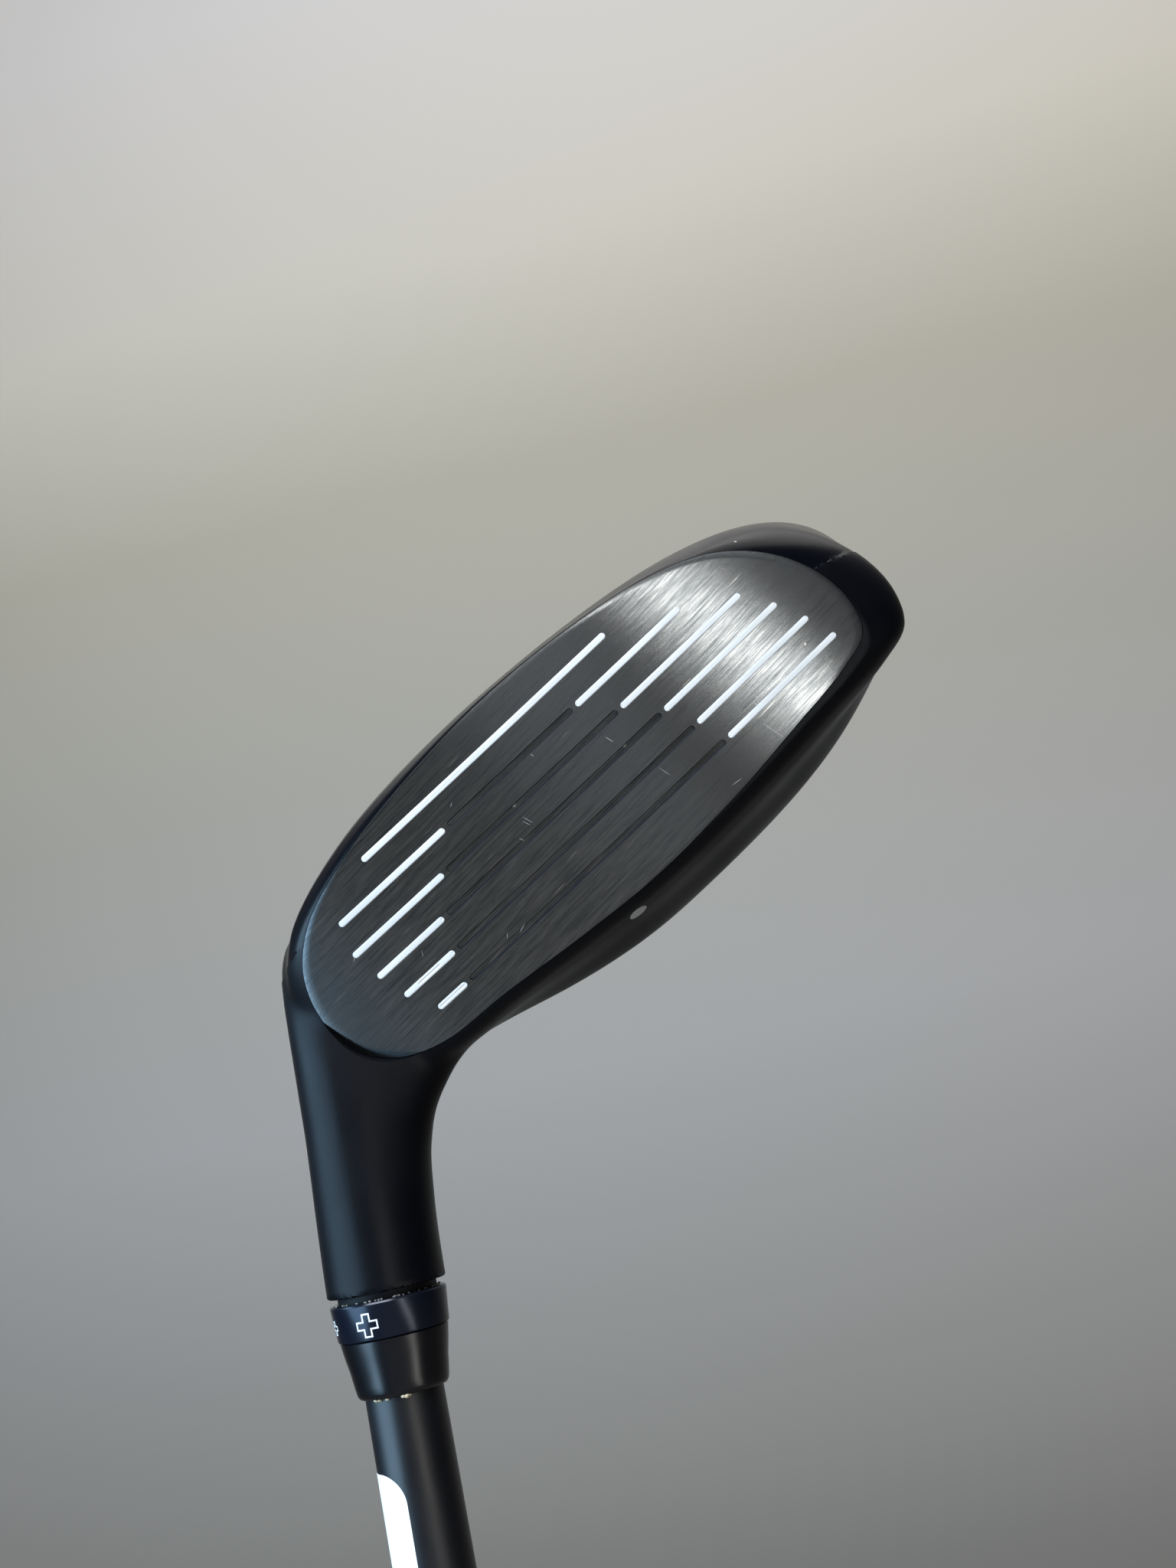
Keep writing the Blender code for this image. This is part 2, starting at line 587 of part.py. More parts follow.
def make_grip():
    low = GRIP_CAP + GAP
    inner = 2 * GAP + TAPE
    outside = [(GRIP_R, low), (GRIP_R - 0.5, 40.0), (11.6, 130.0), (GRIP_MOUTH_R + 0.3, 240.0),
               (GRIP_MOUTH_R, 262.0), (GRIP_MOUTH_R + 0.25, 265.0), (GRIP_MOUTH_R - 0.2, GRIP_LENGTH)]
    inside = [(shaft_radius(z) + inner, z) for z in (GRIP_LENGTH, 130.0, low)]
    grip = lathe("grip", outside + inside, 28)
    return finish(grip, (0.015, 0.015, 0.015), 0.75, 0.0)


def make_grip_cap():
    cap = lathe("grip_cap", (
        (0.0, 0.0), (GRIP_R - 1.3, 0.0), (GRIP_R - 0.5, 0.3), (GRIP_R - 0.1, 0.9), (GRIP_R, 1.8),
        (GRIP_R, GRIP_CAP), (0.0, GRIP_CAP)), 28)
    return finish(cap, (0.015, 0.015, 0.015), 0.7, 0.0)


def make_club():
    for old in list(bpy.data.objects):
        bpy.data.objects.remove(old, do_unlink=True)
    make_head_body()
    make_face_plate()
    make_crown_shell()
    make_hosel_screw()
    make_screw_washer()
    make_screw_retainer()
    make_rear_weight()
    make_weight_gasket()
    make_hosel_sleeve()
    make_ferrule()
    make_shaft()
    make_tip_plug()
    make_shaft_label()
    make_grip_tape()
    make_grip()
    make_grip_cap()


make_club()
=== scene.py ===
import math

import bpy
import numpy as np
from mathutils import Matrix, Vector
from mathutils.bvhtree import BVHTree


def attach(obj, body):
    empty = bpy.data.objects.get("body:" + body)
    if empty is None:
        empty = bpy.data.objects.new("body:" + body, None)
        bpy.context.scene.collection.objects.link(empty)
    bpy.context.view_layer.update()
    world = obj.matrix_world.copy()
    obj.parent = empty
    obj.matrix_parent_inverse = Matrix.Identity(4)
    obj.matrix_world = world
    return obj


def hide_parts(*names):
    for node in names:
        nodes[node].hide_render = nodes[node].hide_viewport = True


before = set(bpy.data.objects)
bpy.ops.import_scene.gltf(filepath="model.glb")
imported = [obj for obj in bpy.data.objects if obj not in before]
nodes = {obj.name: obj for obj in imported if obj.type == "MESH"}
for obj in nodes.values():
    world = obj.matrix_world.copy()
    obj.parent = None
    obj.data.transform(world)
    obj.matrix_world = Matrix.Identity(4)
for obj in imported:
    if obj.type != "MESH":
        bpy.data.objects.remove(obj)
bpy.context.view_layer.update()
MM = 0.001


# ---------------------------------------------------------------- head body
# The head is an investment-cast steel shell with the hosel cast on at the heel. It is drawn as it
# stands at address, in millimetres: h toward the heel, u up, t toward the target. The crown side is
# painted satin black and the sole side, a hair lower behind a masked line, is black gloss.
LOFT = math.radians(21.5)
LIE = math.radians(59.5)
BULGE = 300.0                  # radius of the face, both ways
SHAFT_H, SHAFT_N = 36.8, -10.6
CLUB_CENTRE = 988.6            # height at which the shaft axis passes the middle of the face
HOSEL_END = CLUB_CENTRE - 38.9
BORE_FLOOR = CLUB_CENTRE - 14.0

# The face insert's outline: x toward the heel, v up the face
FACE_OUTLINE = (
    (-3.0, -14.7), (-16.9, -13.8), (-28.9, -11.6), (-36.8, -8.4), (-42.4, -3.3), (-45.6, 2.8),
    (-46.3, 8.5), (-44.8, 12.6), (-40.0, 14.2), (-30.0, 15.3), (-18.0, 16.4), (-4.0, 16.8),
    (8.0, 15.9), (20.0, 14.6), (30.0, 13.9), (35.6, 11.6), (38.9, 7.6), (39.6, 1.8),
    (37.3, -4.4), (32.0, -9.0), (22.0, -12.2), (10.0, -14.0))
FACE_TOE, FACE_HEEL, FACE_TOP, FACE_FOOT = -46.3, 39.6, 16.8, -14.7

# Sections from the face back: depth, share of the loft, reach to the toe and the heel, height of
# the crown and the sole, and how far the outline has turned into the round one of the rear
SECTIONS = np.array((
    (0.0, 1.00, -46.3, 39.6, 15.6, -13.7, 0.00),
    (1.0, 1.00, -49.2, 41.0, 16.4, -14.3, 0.02),
    (3.5, 0.95, -52.3, 42.0, 16.9, -15.1, 0.10),
    (9.0, 0.80, -53.2, 42.3, 17.3, -17.2, 0.47),
    (19.0, 0.55, -53.5, 40.5, 18.1, -18.5, 1.0),
    (32.0, 0.30, -50.8, 34.5, 15.6, -18.4, 1.0),
    (45.0, 0.12, -41.5, 24.0, 10.0, -16.4, 1.0),
    (54.0, 0.04, -29.0, 11.0, 3.0, -12.8, 1.0),
    (58.5, 0.00, -10.5, -8.0, -5.0, -6.6, 1.0)))
TOE_LOW, TOE_HIGH, HEEL_LOW, HEEL_HIGH = 2.62, 2.55, 2.5, 1.85
HEEL_SWELL = 2.3

# Along the shaft from the middle of the face: height, then reach to toe, heel, front and back
HOSEL_SECTIONS = np.array((
    (-8.5, 2.5, 2.5, 2.5, 2.5),
    (-7.0, 4.8, 4.8, 4.8, 5.0),
    (-4.0, 6.8, 6.4, 6.4, 6.8),
    (0.0, 11.0, 6.9, 6.7, 8.4),
    (5.0, 18.6, 6.95, 6.9, 9.0),
    (8.2, 20.4, 6.95, 7.0, 9.0),
    (10.2, 17.4, 6.95, 7.05, 8.7),
    (12.8, 14.2, 6.95, 7.1, 8.2),
    (15.2, 12.1, 6.95, 7.15, 7.9),
    (18.0, 10.3, 6.95, 7.2, 7.7),
    (22.0, 8.9, 7.05, 7.3, 7.6),
    (29.0, 7.95, 7.3, 7.45, 7.5),
    (36.0, 7.6, 7.5, 7.5, 7.5),
    (38.9, 7.55, 7.55, 7.55, 7.55)))
HOSEL_R = 7.55

axis_u, axis_t = SHAFT_N * math.sin(LOFT), SHAFT_N * math.cos(LOFT)
ADDRESS = (
    Matrix.Scale(MM, 4) @ Matrix.Translation((0.0, 0.0, CLUB_CENTRE))
    @ Matrix(((-math.sin(LIE), math.cos(LIE), 0.0, 0.0), (0.0, 0.0, -1.0, 0.0),
              (-math.cos(LIE), -math.sin(LIE), 0.0, 0.0), (0.0, 0.0, 0.0, 1.0)))
    @ Matrix.Translation((-SHAFT_H, -axis_u, -axis_t)))
MILLIMETRES = Matrix.Scale(MM, 4)


def hermite(x, knots, values):
    """A smooth curve through the values at the knots."""
    slopes, widths = np.diff(values) / np.diff(knots), np.diff(knots)
    tangents = np.empty(len(knots))
    tangents[0], tangents[-1] = slopes[0], slopes[-1]
    tangents[1:-1] = (slopes[:-1] * widths[1:] + slopes[1:] * widths[:-1]) / (widths[1:] + widths[:-1])
    i = np.clip(np.searchsorted(knots, x, side="right") - 1, 0, len(knots) - 2)
    s = (x - knots[i]) / widths[i]
    start = values[i] * (2 * s**3 - 3 * s**2 + 1) + values[i + 1] * (3 * s**2 - 2 * s**3)
    return start + (tangents[i] * (s**3 - 2 * s**2 + s) + tangents[i + 1] * (s**3 - s**2)) * widths[i]


def closed_curve(points, shares):
    """Points at shares from 0 to 1 of the way round a smooth closed curve."""
    ring = np.array(points, float)
    wrapped = np.vstack([ring[-3:], ring, ring[:4]])
    knots = np.concatenate([[0.0], np.cumsum(np.linalg.norm(np.diff(wrapped, axis=0), axis=1) ** 0.5)])
    at = knots[3] + np.asarray(shares) * (knots[3 + len(ring)] - knots[3])
    return np.column_stack([hermite(at, knots, wrapped[:, 0]), hermite(at, knots, wrapped[:, 1])])


def grown(curve, amount):
    """The closed curve pushed outward by an amount, or inward where it is negative."""
    along = np.roll(curve, -1, axis=0) - np.roll(curve, 1, axis=0)
    normal = np.column_stack([along[:, 1], -along[:, 0]])
    normal /= np.linalg.norm(normal, axis=1)[:, None]
    if np.sum(normal * (curve - curve.mean(axis=0))) < 0:
        normal = -normal
    return curve + amount * normal


def on_face(curve, lift):
    """Points at address for x and v on the curved face, lifted off it by an amount."""
    x, v = curve[:, 0], curve[:, 1]
    n = lift - (x**2 + v**2) / (2 * BULGE)
    return np.column_stack([x, v * math.cos(LOFT) + n * math.sin(LOFT),
                            n * math.cos(LOFT) - v * math.sin(LOFT)])


def head_ring(station, shares, wall=0.0):
    """Points on one section of the head, at a station from 0 at the face to 1 at the rear."""
    steps = np.hypot(np.diff(SECTIONS[:, 0]), 0.6 * np.diff(SECTIONS[:, 2]))
    knots = np.concatenate([[0.0], np.cumsum(steps)])
    at = np.array([station * knots[-1]])
    depth, lean, toe, heel, crown, sole, turned = (
        float(hermite(at, knots, SECTIONS[:, i])[0]) for i in range(7))
    middle = (FACE_TOE + FACE_HEEL) / 2
    curve = closed_curve(FACE_OUTLINE, shares)
    a = (curve[:, 0] - middle) / np.where(curve[:, 0] < middle, middle - FACE_TOE, FACE_HEEL - middle)
    b = curve[:, 1] / np.where(curve[:, 1] < 0, -FACE_FOOT, FACE_TOP)
    angle = np.arctan2(b, a)
    toe_share = 0.5 - 0.5 * np.tanh(4 * np.cos(angle))
    low_share = 0.5 - 0.5 * np.tanh(4 * np.sin(angle))
    square = toe_share * (low_share * TOE_LOW + (1 - low_share) * TOE_HIGH)
    square += (1 - toe_share) * (low_share * HEEL_LOW + (1 - low_share) * HEEL_HIGH)
    reach = (np.abs(np.cos(angle))**square + np.abs(np.sin(angle))**square) ** (-1 / square)
    a = a * (1 - turned) + reach * np.cos(angle) * turned
    b = b * (1 - turned) + reach * np.sin(angle) * turned
    toe, heel, crown, sole = toe + wall, heel - wall, crown - wall, sole + wall
    h_mid = (toe + heel) / 2
    u_mid = (crown + sole) / 2 - (SECTIONS[0][4] + SECTIONS[0][5]) / 2
    h = np.where(a < 0, h_mid - a * (toe - h_mid), h_mid + a * (heel - h_mid))
    u = np.where(b < 0, u_mid - b * (sole - u_mid), u_mid + b * (crown - u_mid))
    foot_of_heel = np.clip(np.cos(angle + math.radians(38)), 0, 1) ** 4
    swell = HEEL_SWELL * foot_of_heel * min(1.0, depth / 3.5) * (1 - station)
    h += swell * np.cos(angle)
    u += swell * np.sin(angle)
    curved = max(0.0, 1 - depth / 40) * (h**2 + (u / math.cos(LOFT))**2) / (2 * BULGE * math.cos(LOFT))
    return np.column_stack([h, u, -depth - lean * u * math.tan(LOFT) - curved])


def hosel_ring(height, count):
    toe, heel, front, back = (
        float(hermite(np.array([height]), HOSEL_SECTIONS[:, 0], HOSEL_SECTIONS[:, i])[0])
        for i in range(1, 5))
    turn = np.linspace(0, 2 * math.pi, count, endpoint=False)
    nose = np.clip(np.cos(turn), 0, 1) * max(0.0, toe - HOSEL_R)
    x = np.cos(turn) * np.where(np.cos(turn) > 0, toe, heel)
    y = np.sin(turn) * np.where(np.sin(turn) > 0, back, front) * (1 - 0.03 * nose)
    return np.column_stack([x, y + 0.3 * nose * np.cos(turn), np.full(count, CLUB_CENTRE - height)])


def nothing_selected():
    bpy.ops.object.select_all(action="DESELECT")


def only(piece):
    nothing_selected()
    piece.select_set(True)
    bpy.context.view_layer.objects.active = piece


def edit_all():
    """Enters edit mode with everything in the active piece selected."""
    bpy.ops.object.mode_set(mode="EDIT")
    bpy.ops.mesh.select_all(action="SELECT")


def edit_done():
    bpy.ops.object.mode_set(mode="OBJECT")


def named(name):
    """The piece that has just been made, under its own name."""
    piece = bpy.context.object
    piece.name = piece.data.name = name
    return piece


def tree_of(mesh):
    """A mesh's faces, ready for nearest points and rays."""
    return BVHTree.FromPolygons([v.co for v in mesh.vertices], [tuple(p.vertices) for p in mesh.polygons])


def sheet_of(name, points, matrix, closed):
    """A grid laid onto rows of points, and sewn up along its sides where the rows are closed."""
    rows, columns = len(points), len(points[0])
    around = columns if closed else columns - 1
    nothing_selected()
    bpy.ops.mesh.primitive_grid_add(x_subdivisions=around, y_subdivisions=rows - 1, size=1)
    piece = named(name)
    laid = [list(row) + ([row[0]] if closed else []) for row in points]
    places = [matrix @ Vector(point) for row in laid for point in row]
    piece.data.vertices.foreach_set("co", [value for place in places for value in place])
    edit_all()
    bpy.ops.mesh.remove_doubles(threshold=MM / 1000)
    edit_done()
    return piece


def lofted(name, rings, matrix):
    """A closed solid: a grid bent round through rings of points, with both ends filled."""
    piece = sheet_of(name, rings, matrix, closed=True)
    edit_all()
    bpy.ops.mesh.fill_holes(sides=0)
    bpy.ops.mesh.select_all(action="DESELECT")
    bpy.ops.mesh.select_face_by_sides(number=4, type="GREATER")
    bpy.ops.mesh.poke()
    bpy.ops.mesh.select_all(action="SELECT")
    bpy.ops.mesh.normals_make_consistent(inside=False)
    edit_done()
    return piece


def applied(piece, kind, **settings):
    """Adds a modifier with its settings and applies it."""
    only(piece)
    change = piece.modifiers.new(kind, kind)
    for setting, value in settings.items():
        setattr(change, setting, value)
    bpy.ops.object.modifier_apply(modifier=change.name)


def combine(target, other, operation, keep=False):
    applied(target, "BOOLEAN", operation=operation, solver="MANIFOLD", object=other)
    if not keep:
        bpy.data.objects.remove(other, do_unlink=True)


def copied(piece, name):
    twin = piece.copy()
    twin.data = piece.data.copy()
    twin.name = twin.data.name = name
    bpy.context.scene.collection.objects.link(twin)
    return twin


def nearest_distances(mesh, target):
    """How far each of a mesh's vertices is from another mesh."""
    tree = tree_of(target)
    return np.array([tree.find_nearest(v.co)[3] for v in mesh.vertices])


def turned(name, profile, steps=96, matrix=MILLIMETRES):
    """A solid spun about Z from radius and height pairs that run round its section."""
    nothing_selected()
    bpy.ops.mesh.primitive_plane_add(size=1.0, location=(0, 0, 0))
    piece = named(name)
    bpy.ops.object.mode_set(mode="EDIT")
    bpy.ops.mesh.select_mode(type="VERT")
    bpy.ops.mesh.merge(type="CENTER")
    bpy.ops.transform.translate(value=(profile[0][0], 0, profile[0][1]))
    closed = all(radius > 0 for radius, height in profile)
    path = list(profile) + ([profile[0]] if closed else [])
    for (radius, height), (next_radius, next_height) in zip(path, path[1:]):
        bpy.ops.mesh.extrude_region_move(
            TRANSFORM_OT_translate={"value": (next_radius - radius, 0, next_height - height)})
    bpy.ops.mesh.select_all(action="SELECT")
    bpy.ops.mesh.spin(steps=steps, angle=2 * math.pi, center=(0, 0, 0), axis=(0, 0, 1))
    bpy.ops.mesh.select_all(action="SELECT")
    bpy.ops.mesh.remove_doubles(threshold=0.0005)
    bpy.ops.mesh.normals_make_consistent(inside=False)
    edit_done()
    piece.data.transform(matrix)
    return piece


def smooth(piece, degrees=32):
    only(piece)
    bpy.ops.object.shade_smooth_by_angle(angle=math.radians(degrees))


def add_node(tree, kind, inputs=(), **settings):
    """A node with its settings, its inputs linked where a socket is given and set where a value is."""
    made = tree.nodes.new(kind)
    for setting, value in settings.items():
        setattr(made, setting, value)
    for key, value in dict(inputs).items():
        if isinstance(value, bpy.types.NodeSocket):
            tree.links.new(value, made.inputs[key])
        else:
            made.inputs[key].default_value = value
    return made


def math_node(tree, operation, first, second=0.0, clamped=False):
    return add_node(tree, "ShaderNodeMath", {0: first, 1: second}, operation=operation,
                    use_clamp=clamped).outputs[0]


def ramp(tree, value, low, high, at_low=0.0, at_high=1.0):
    """Maps a value between two limits onto another range."""
    return add_node(tree, "ShaderNodeMapRange", {
        "Value": value, "From Min": low, "From Max": high, "To Min": at_low, "To Max": at_high}).outputs[0]


def mixed(tree, share, first, second):
    node = add_node(tree, "ShaderNodeMix", {0: share, 6: first, 7: second}, data_type="RGBA")
    return node.outputs[2]


def group_with(name, inputs, outputs):
    """An empty node group with its named inputs and outputs: its tree and both its ends."""
    tree = bpy.data.node_groups.new(name, "ShaderNodeTree")
    for label, kind, value in inputs:
        socket = tree.interface.new_socket(label, in_out="INPUT", socket_type=kind)
        if value is not None:
            socket.default_value = value
    for label, kind in outputs:
        tree.interface.new_socket(label, in_out="OUTPUT", socket_type=kind)
    return tree, tree.nodes.new("NodeGroupInput").outputs, tree.nodes.new("NodeGroupOutput").inputs


def dust_group():
    """Where specks of dust and small pale nicks are."""
    tree, given, out = group_with(
        "dust_and_nicks",
        (("Vector", "NodeSocketVector", None), ("Specks per mm", "NodeSocketFloat", 0.5),
         ("Amount", "NodeSocketFloat", 0.1)),
        (("Mask", "NodeSocketFloat"),))
    scale = math_node(tree, "MULTIPLY", given["Specks per mm"], 1 / MM)
    cells = add_node(tree, "ShaderNodeTexVoronoi", {"Vector": given["Vector"], "Scale": scale}, feature="F1")
    pick = add_node(tree, "ShaderNodeSeparateColor", {0: cells.outputs["Color"]})
    chosen = math_node(tree, "LESS_THAN", pick.outputs[0], given["Amount"])
    size = ramp(tree, pick.outputs[1], 0.0, 1.0, 0.05, 0.16)
    dot = math_node(tree, "LESS_THAN", cells.outputs["Distance"], size)
    tree.links.new(math_node(tree, "MULTIPLY", chosen, dot), out["Mask"])
    return tree


def grain_group():
    """Fine uneven tone and height, as sprayed and blasted surfaces have."""
    tree, given, out = group_with(
        "fine_grain",
        (("Vector", "NodeSocketVector", None), ("Grains per mm", "NodeSocketFloat", 4.0)),
        (("Value", "NodeSocketFloat"), ("Cloud", "NodeSocketFloat")))
    scale = math_node(tree, "MULTIPLY", given["Grains per mm"], 1 / MM)
    fine = add_node(tree, "ShaderNodeTexNoise", {"Vector": given["Vector"], "Scale": scale, "Detail": 3.0})
    cloud = add_node(tree, "ShaderNodeTexNoise", {"Vector": given["Vector"], "Scale": 90.0, "Detail": 4.0})
    tree.links.new(fine.outputs[0], out["Value"])
    tree.links.new(cloud.outputs[0], out["Cloud"])
    return tree


DUST, GRAIN = dust_group(), grain_group()


def grouped(tree, group, **inputs):
    """Places a node group with its values: words in an input's name are joined by underscores."""
    spaced = {key.replace("_", " "): value for key, value in inputs.items()}
    return add_node(tree, "ShaderNodeGroup", spaced, node_tree=group).outputs


def finish_of(name, colour, roughness, metallic=0.0, grain=4.0, bump=0.00001, dust=0.0, variation=0.05,
              **sockets):
    """A coated or moulded finish with fine grain, uneven tone and a little dust."""
    made = bpy.data.materials.new(name)
    made.use_nodes = True
    tree = made.node_tree
    surface = tree.nodes["Principled BSDF"]
    where = tree.nodes.new("ShaderNodeTexCoord").outputs["Object"]
    grains = grouped(tree, GRAIN, Vector=where, Grains_per_mm=grain)
    specks = grouped(tree, DUST, Vector=where, Specks_per_mm=0.45, Amount=dust)
    dark = tuple(0.8 * part for part in colour) + (1.0,)
    light = tuple(min(1.0, 1.2 * part) for part in colour) + (1.0,)
    tone = mixed(tree, grains["Cloud"], dark, light)
    tone = mixed(tree, specks["Mask"], tone, (0.3, 0.3, 0.29, 1.0))
    tree.links.new(tone, surface.inputs["Base Color"])
    shine = ramp(tree, grains["Cloud"], 0.3, 0.7, roughness - variation, roughness + variation)
    tree.links.new(shine, surface.inputs["Roughness"])
    height = math_node(tree, "ADD", grains["Value"], specks["Mask"])
    relief = add_node(tree, "ShaderNodeBump", {"Height": height, "Distance": bump, "Strength": 0.6})
    tree.links.new(relief.outputs[0], surface.inputs["Normal"])
    surface.inputs["Metallic"].default_value = metallic
    for key, value in sockets.items():
        surface.inputs[key.replace("_", " ")].default_value = value
    return made


def coat(piece, material):
    piece.data.materials.clear()
    piece.data.materials.append(material)


HEAD_COUNT = 288               # points round a section of the head
HEAD_STATIONS = np.linspace(0.0, 1.0, 110) ** 1.25
CROWN_STATIONS = (0.12, 0.80)
CROWN_SHARES = (0.25, 0.59)
VOXEL = 0.45 * MM
# The masked line: where the toe is, the line's height there, and its fall to the heel
TOE_H, STEP_TOE, STEP_SLOPE = -48.0, 1.1, -0.107
STEP_DEPTH = 0.10

round_shares = np.arange(HEAD_COUNT) / HEAD_COUNT
rim = closed_curve(FACE_OUTLINE, round_shares)
rim_centre = rim.mean(axis=0)
front_rings = [on_face(rim_centre + (rim - rim_centre) * share, 0.0) for share in np.linspace(0.03, 0.98, 24)]
shell = lofted("shell", front_rings + [head_ring(at, round_shares) for at in HEAD_STATIONS], ADDRESS)
hosel = lofted("hosel", [hosel_ring(height, 128) for height in np.linspace(-8.5, 38.9, 96)], MILLIMETRES)
exact = copied(shell, "exact")
combine(exact, hosel, "UNION", keep=True)
head = copied(exact, "head")
applied(head, "REMESH", mode="VOXEL", voxel_size=VOXEL)

# The casting's fillet: both skins keep their place away from where they meet, and melt together there
apart = np.maximum(nearest_distances(head.data, shell.data), nearest_distances(head.data, hosel.data))
kept_share = np.clip((apart / MM - 0.6) / 2.2, 0, 1)
kept, melted = head.vertex_groups.new(name="kept"), head.vertex_groups.new(name="melted")
for i, share in enumerate(kept_share):
    kept.add([i], share, "REPLACE")
    melted.add([i], 1 - share, "REPLACE")
applied(head, "SMOOTH", factor=0.5, iterations=4)
applied(head, "SHRINKWRAP", target=exact, vertex_group="kept", wrap_method="NEAREST_SURFACEPOINT")
applied(head, "SMOOTH", factor=0.5, iterations=45, vertex_group="melted")
head.vertex_groups.clear()
for used in (shell, hosel, exact):
    bpy.data.objects.remove(used, do_unlink=True)

to_address = ADDRESS.inverted()


def above_step(place):
    """Millimetres above the masked line that parts the satin crown side from the sole side."""
    h, u = (to_address @ place)[:2]
    return u - STEP_TOE - STEP_SLOPE * (h - TOE_H)


step_normal = (ADDRESS.to_3x3() @ Vector((-STEP_SLOPE, 1.0, 0.0))).normalized()
step_point = ADDRESS @ Vector((TOE_H, STEP_TOE, 0.0))
for drop in (0.0, STEP_DEPTH):
    only(head)
    edit_all()
    bpy.ops.mesh.bisect(plane_co=step_point - step_normal * drop * MM, plane_no=step_normal)
    edit_done()
only(head)
for vertex in head.data.vertices:
    vertex.select = -0.95 * STEP_DEPTH < above_step(vertex.co) < -0.05 * STEP_DEPTH
for part in list(head.data.edges) + list(head.data.polygons):
    part.select = False
bpy.ops.object.mode_set(mode="EDIT")
bpy.ops.mesh.select_mode(type="VERT")
bpy.ops.mesh.dissolve_verts()
edit_done()
for vertex, normal in [(v, v.normal.copy()) for v in head.data.vertices]:
    if above_step(vertex.co) < -0.9 * STEP_DEPTH:
        vertex.co -= normal * STEP_DEPTH * MM


def face_block(name, growth, front, back):
    """The face's outline made solid, between two heights over the face."""
    edge = grown(rim, growth)
    core = rim_centre + (edge - rim_centre) * 0.03
    outlines = ((core, front), (edge, front), (edge, back), (core, back))
    return lofted(name, [on_face(outline, height) for outline, height in outlines], ADDRESS)


def crown_block(name, margin, outer, inner):
    """The crown's area made solid between two depths below the skin."""
    shares = np.linspace(CROWN_SHARES[0] - margin * 0.4, CROWN_SHARES[1] + margin * 0.4, 60)
    rings = []
    for station in np.linspace(CROWN_STATIONS[0] - margin, CROWN_STATIONS[1] + margin, 44):
        rings.append(np.vstack([head_ring(station, shares, outer), head_ring(station, shares, inner)[::-1]]))
    block = sheet_of(name, rings, ADDRESS, closed=True)
    edit_all()
    bpy.ops.mesh.fill_holes(sides=0)
    bpy.ops.mesh.quads_convert_to_tris()
    bpy.ops.mesh.normals_make_consistent(inside=False)
    edit_done()
    return block


def rod(radius, low, high, matrix=MILLIMETRES):
    return turned("rod", ((0.0, low), (radius, low), (radius, high), (0.0, high)), 72, matrix)


WEIGHT_AT, WEIGHT_LEAN = (-9.0, -17.2, -41.0), math.radians(14)
WEIGHT_R, WEIGHT_SHANK_R, WEIGHT_FLANGE, WEIGHT_LENGTH, GASKET = 6.0, 5.0, 2.6, 9.0, 0.6
GAP = 0.3
COLLAR_R, COLLAR_LENGTH, HOSEL_BORE, PORT_R, SCREW_R, SEAT_WEB = 6.3, 5.0, 5.9, 4.4, 2.5, 2.5
SEAM = 0.035                   # half the gap round the face insert
weight_out = Vector((0.0, -math.cos(WEIGHT_LEAN), -math.sin(WEIGHT_LEAN)))
WEIGHT_FRAME = (ADDRESS @ Matrix.Translation(WEIGHT_AT)
                @ Vector((0.0, 0.0, 1.0)).rotation_difference(weight_out).to_matrix().to_4x4())

crown = copied(head, "crown")
combine(crown, crown_block("crown_cutter", 0.0, -3.0, 0.9), "INTERSECT")
for cutter in (
        face_block("pocket", SEAM, 4.0, -1.3),
        crown_block("crown_pocket", 0.0004, -3.0, 1.2),
        rod(COLLAR_R + GAP, HOSEL_END - 1.0, HOSEL_END + COLLAR_LENGTH + GAP),
        rod(HOSEL_BORE, HOSEL_END - 1.0, BORE_FLOOR),
        rod(SCREW_R + 0.4, BORE_FLOOR - 1.0, BORE_FLOOR + 5.0),
        rod(PORT_R, BORE_FLOOR + SEAT_WEB, CLUB_CENTRE + 20.0),
        rod(WEIGHT_R + GAP, -WEIGHT_FLANGE - GASKET - 2 * GAP, 6.0, WEIGHT_FRAME),
        rod(WEIGHT_SHANK_R + GAP, -WEIGHT_LENGTH - 1.0, 6.0, WEIGHT_FRAME)):
    combine(head, cutter, "DIFFERENCE")
smooth(head)
smooth(crown)

SATIN_BLACK, GLOSS_SHARE = (0.0016, 0.0022, 0.0042), 0.7    # the gloss's roughness, as a share of the satin's
satin_black, shell_paint = (
    finish_of(name, SATIN_BLACK, 0.40, grain=5.0, bump=0.000008, dust=0.018, Specular_IOR_Level=0.15)
    for name in ("satin_black_paint", "head_paint"))
tree = shell_paint.node_tree
surface = tree.nodes["Principled BSDF"]
where = tree.nodes["Texture Coordinate"].outputs["Object"]
level = add_node(tree, "ShaderNodeVectorMath", {0: where, 1: step_normal}, operation="DOT_PRODUCT").outputs["Value"]
below = math_node(tree, "LESS_THAN", level, step_normal.dot(step_point))
satin_shine = surface.inputs["Roughness"].links[0].from_socket
gloss_shine = math_node(tree, "MULTIPLY", satin_shine, GLOSS_SHARE)
shine = add_node(tree, "ShaderNodeMix", {0: below, 2: satin_shine, 3: gloss_shine}, data_type="FLOAT").outputs[0]
tree.links.new(shine, surface.inputs["Roughness"])

coat(head, shell_paint)
coat(crown, satin_black)
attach(head, "head")
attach(crown, "head")
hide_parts("head_body")
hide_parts("crown_shell")


# ---------------------------------------------------------------- alignment dot
# A single pale dot is pad-printed on the crown just behind the middle of the face.
DOT_AT, DOT_R = (0.9, 20.0, -10.2), 1.3

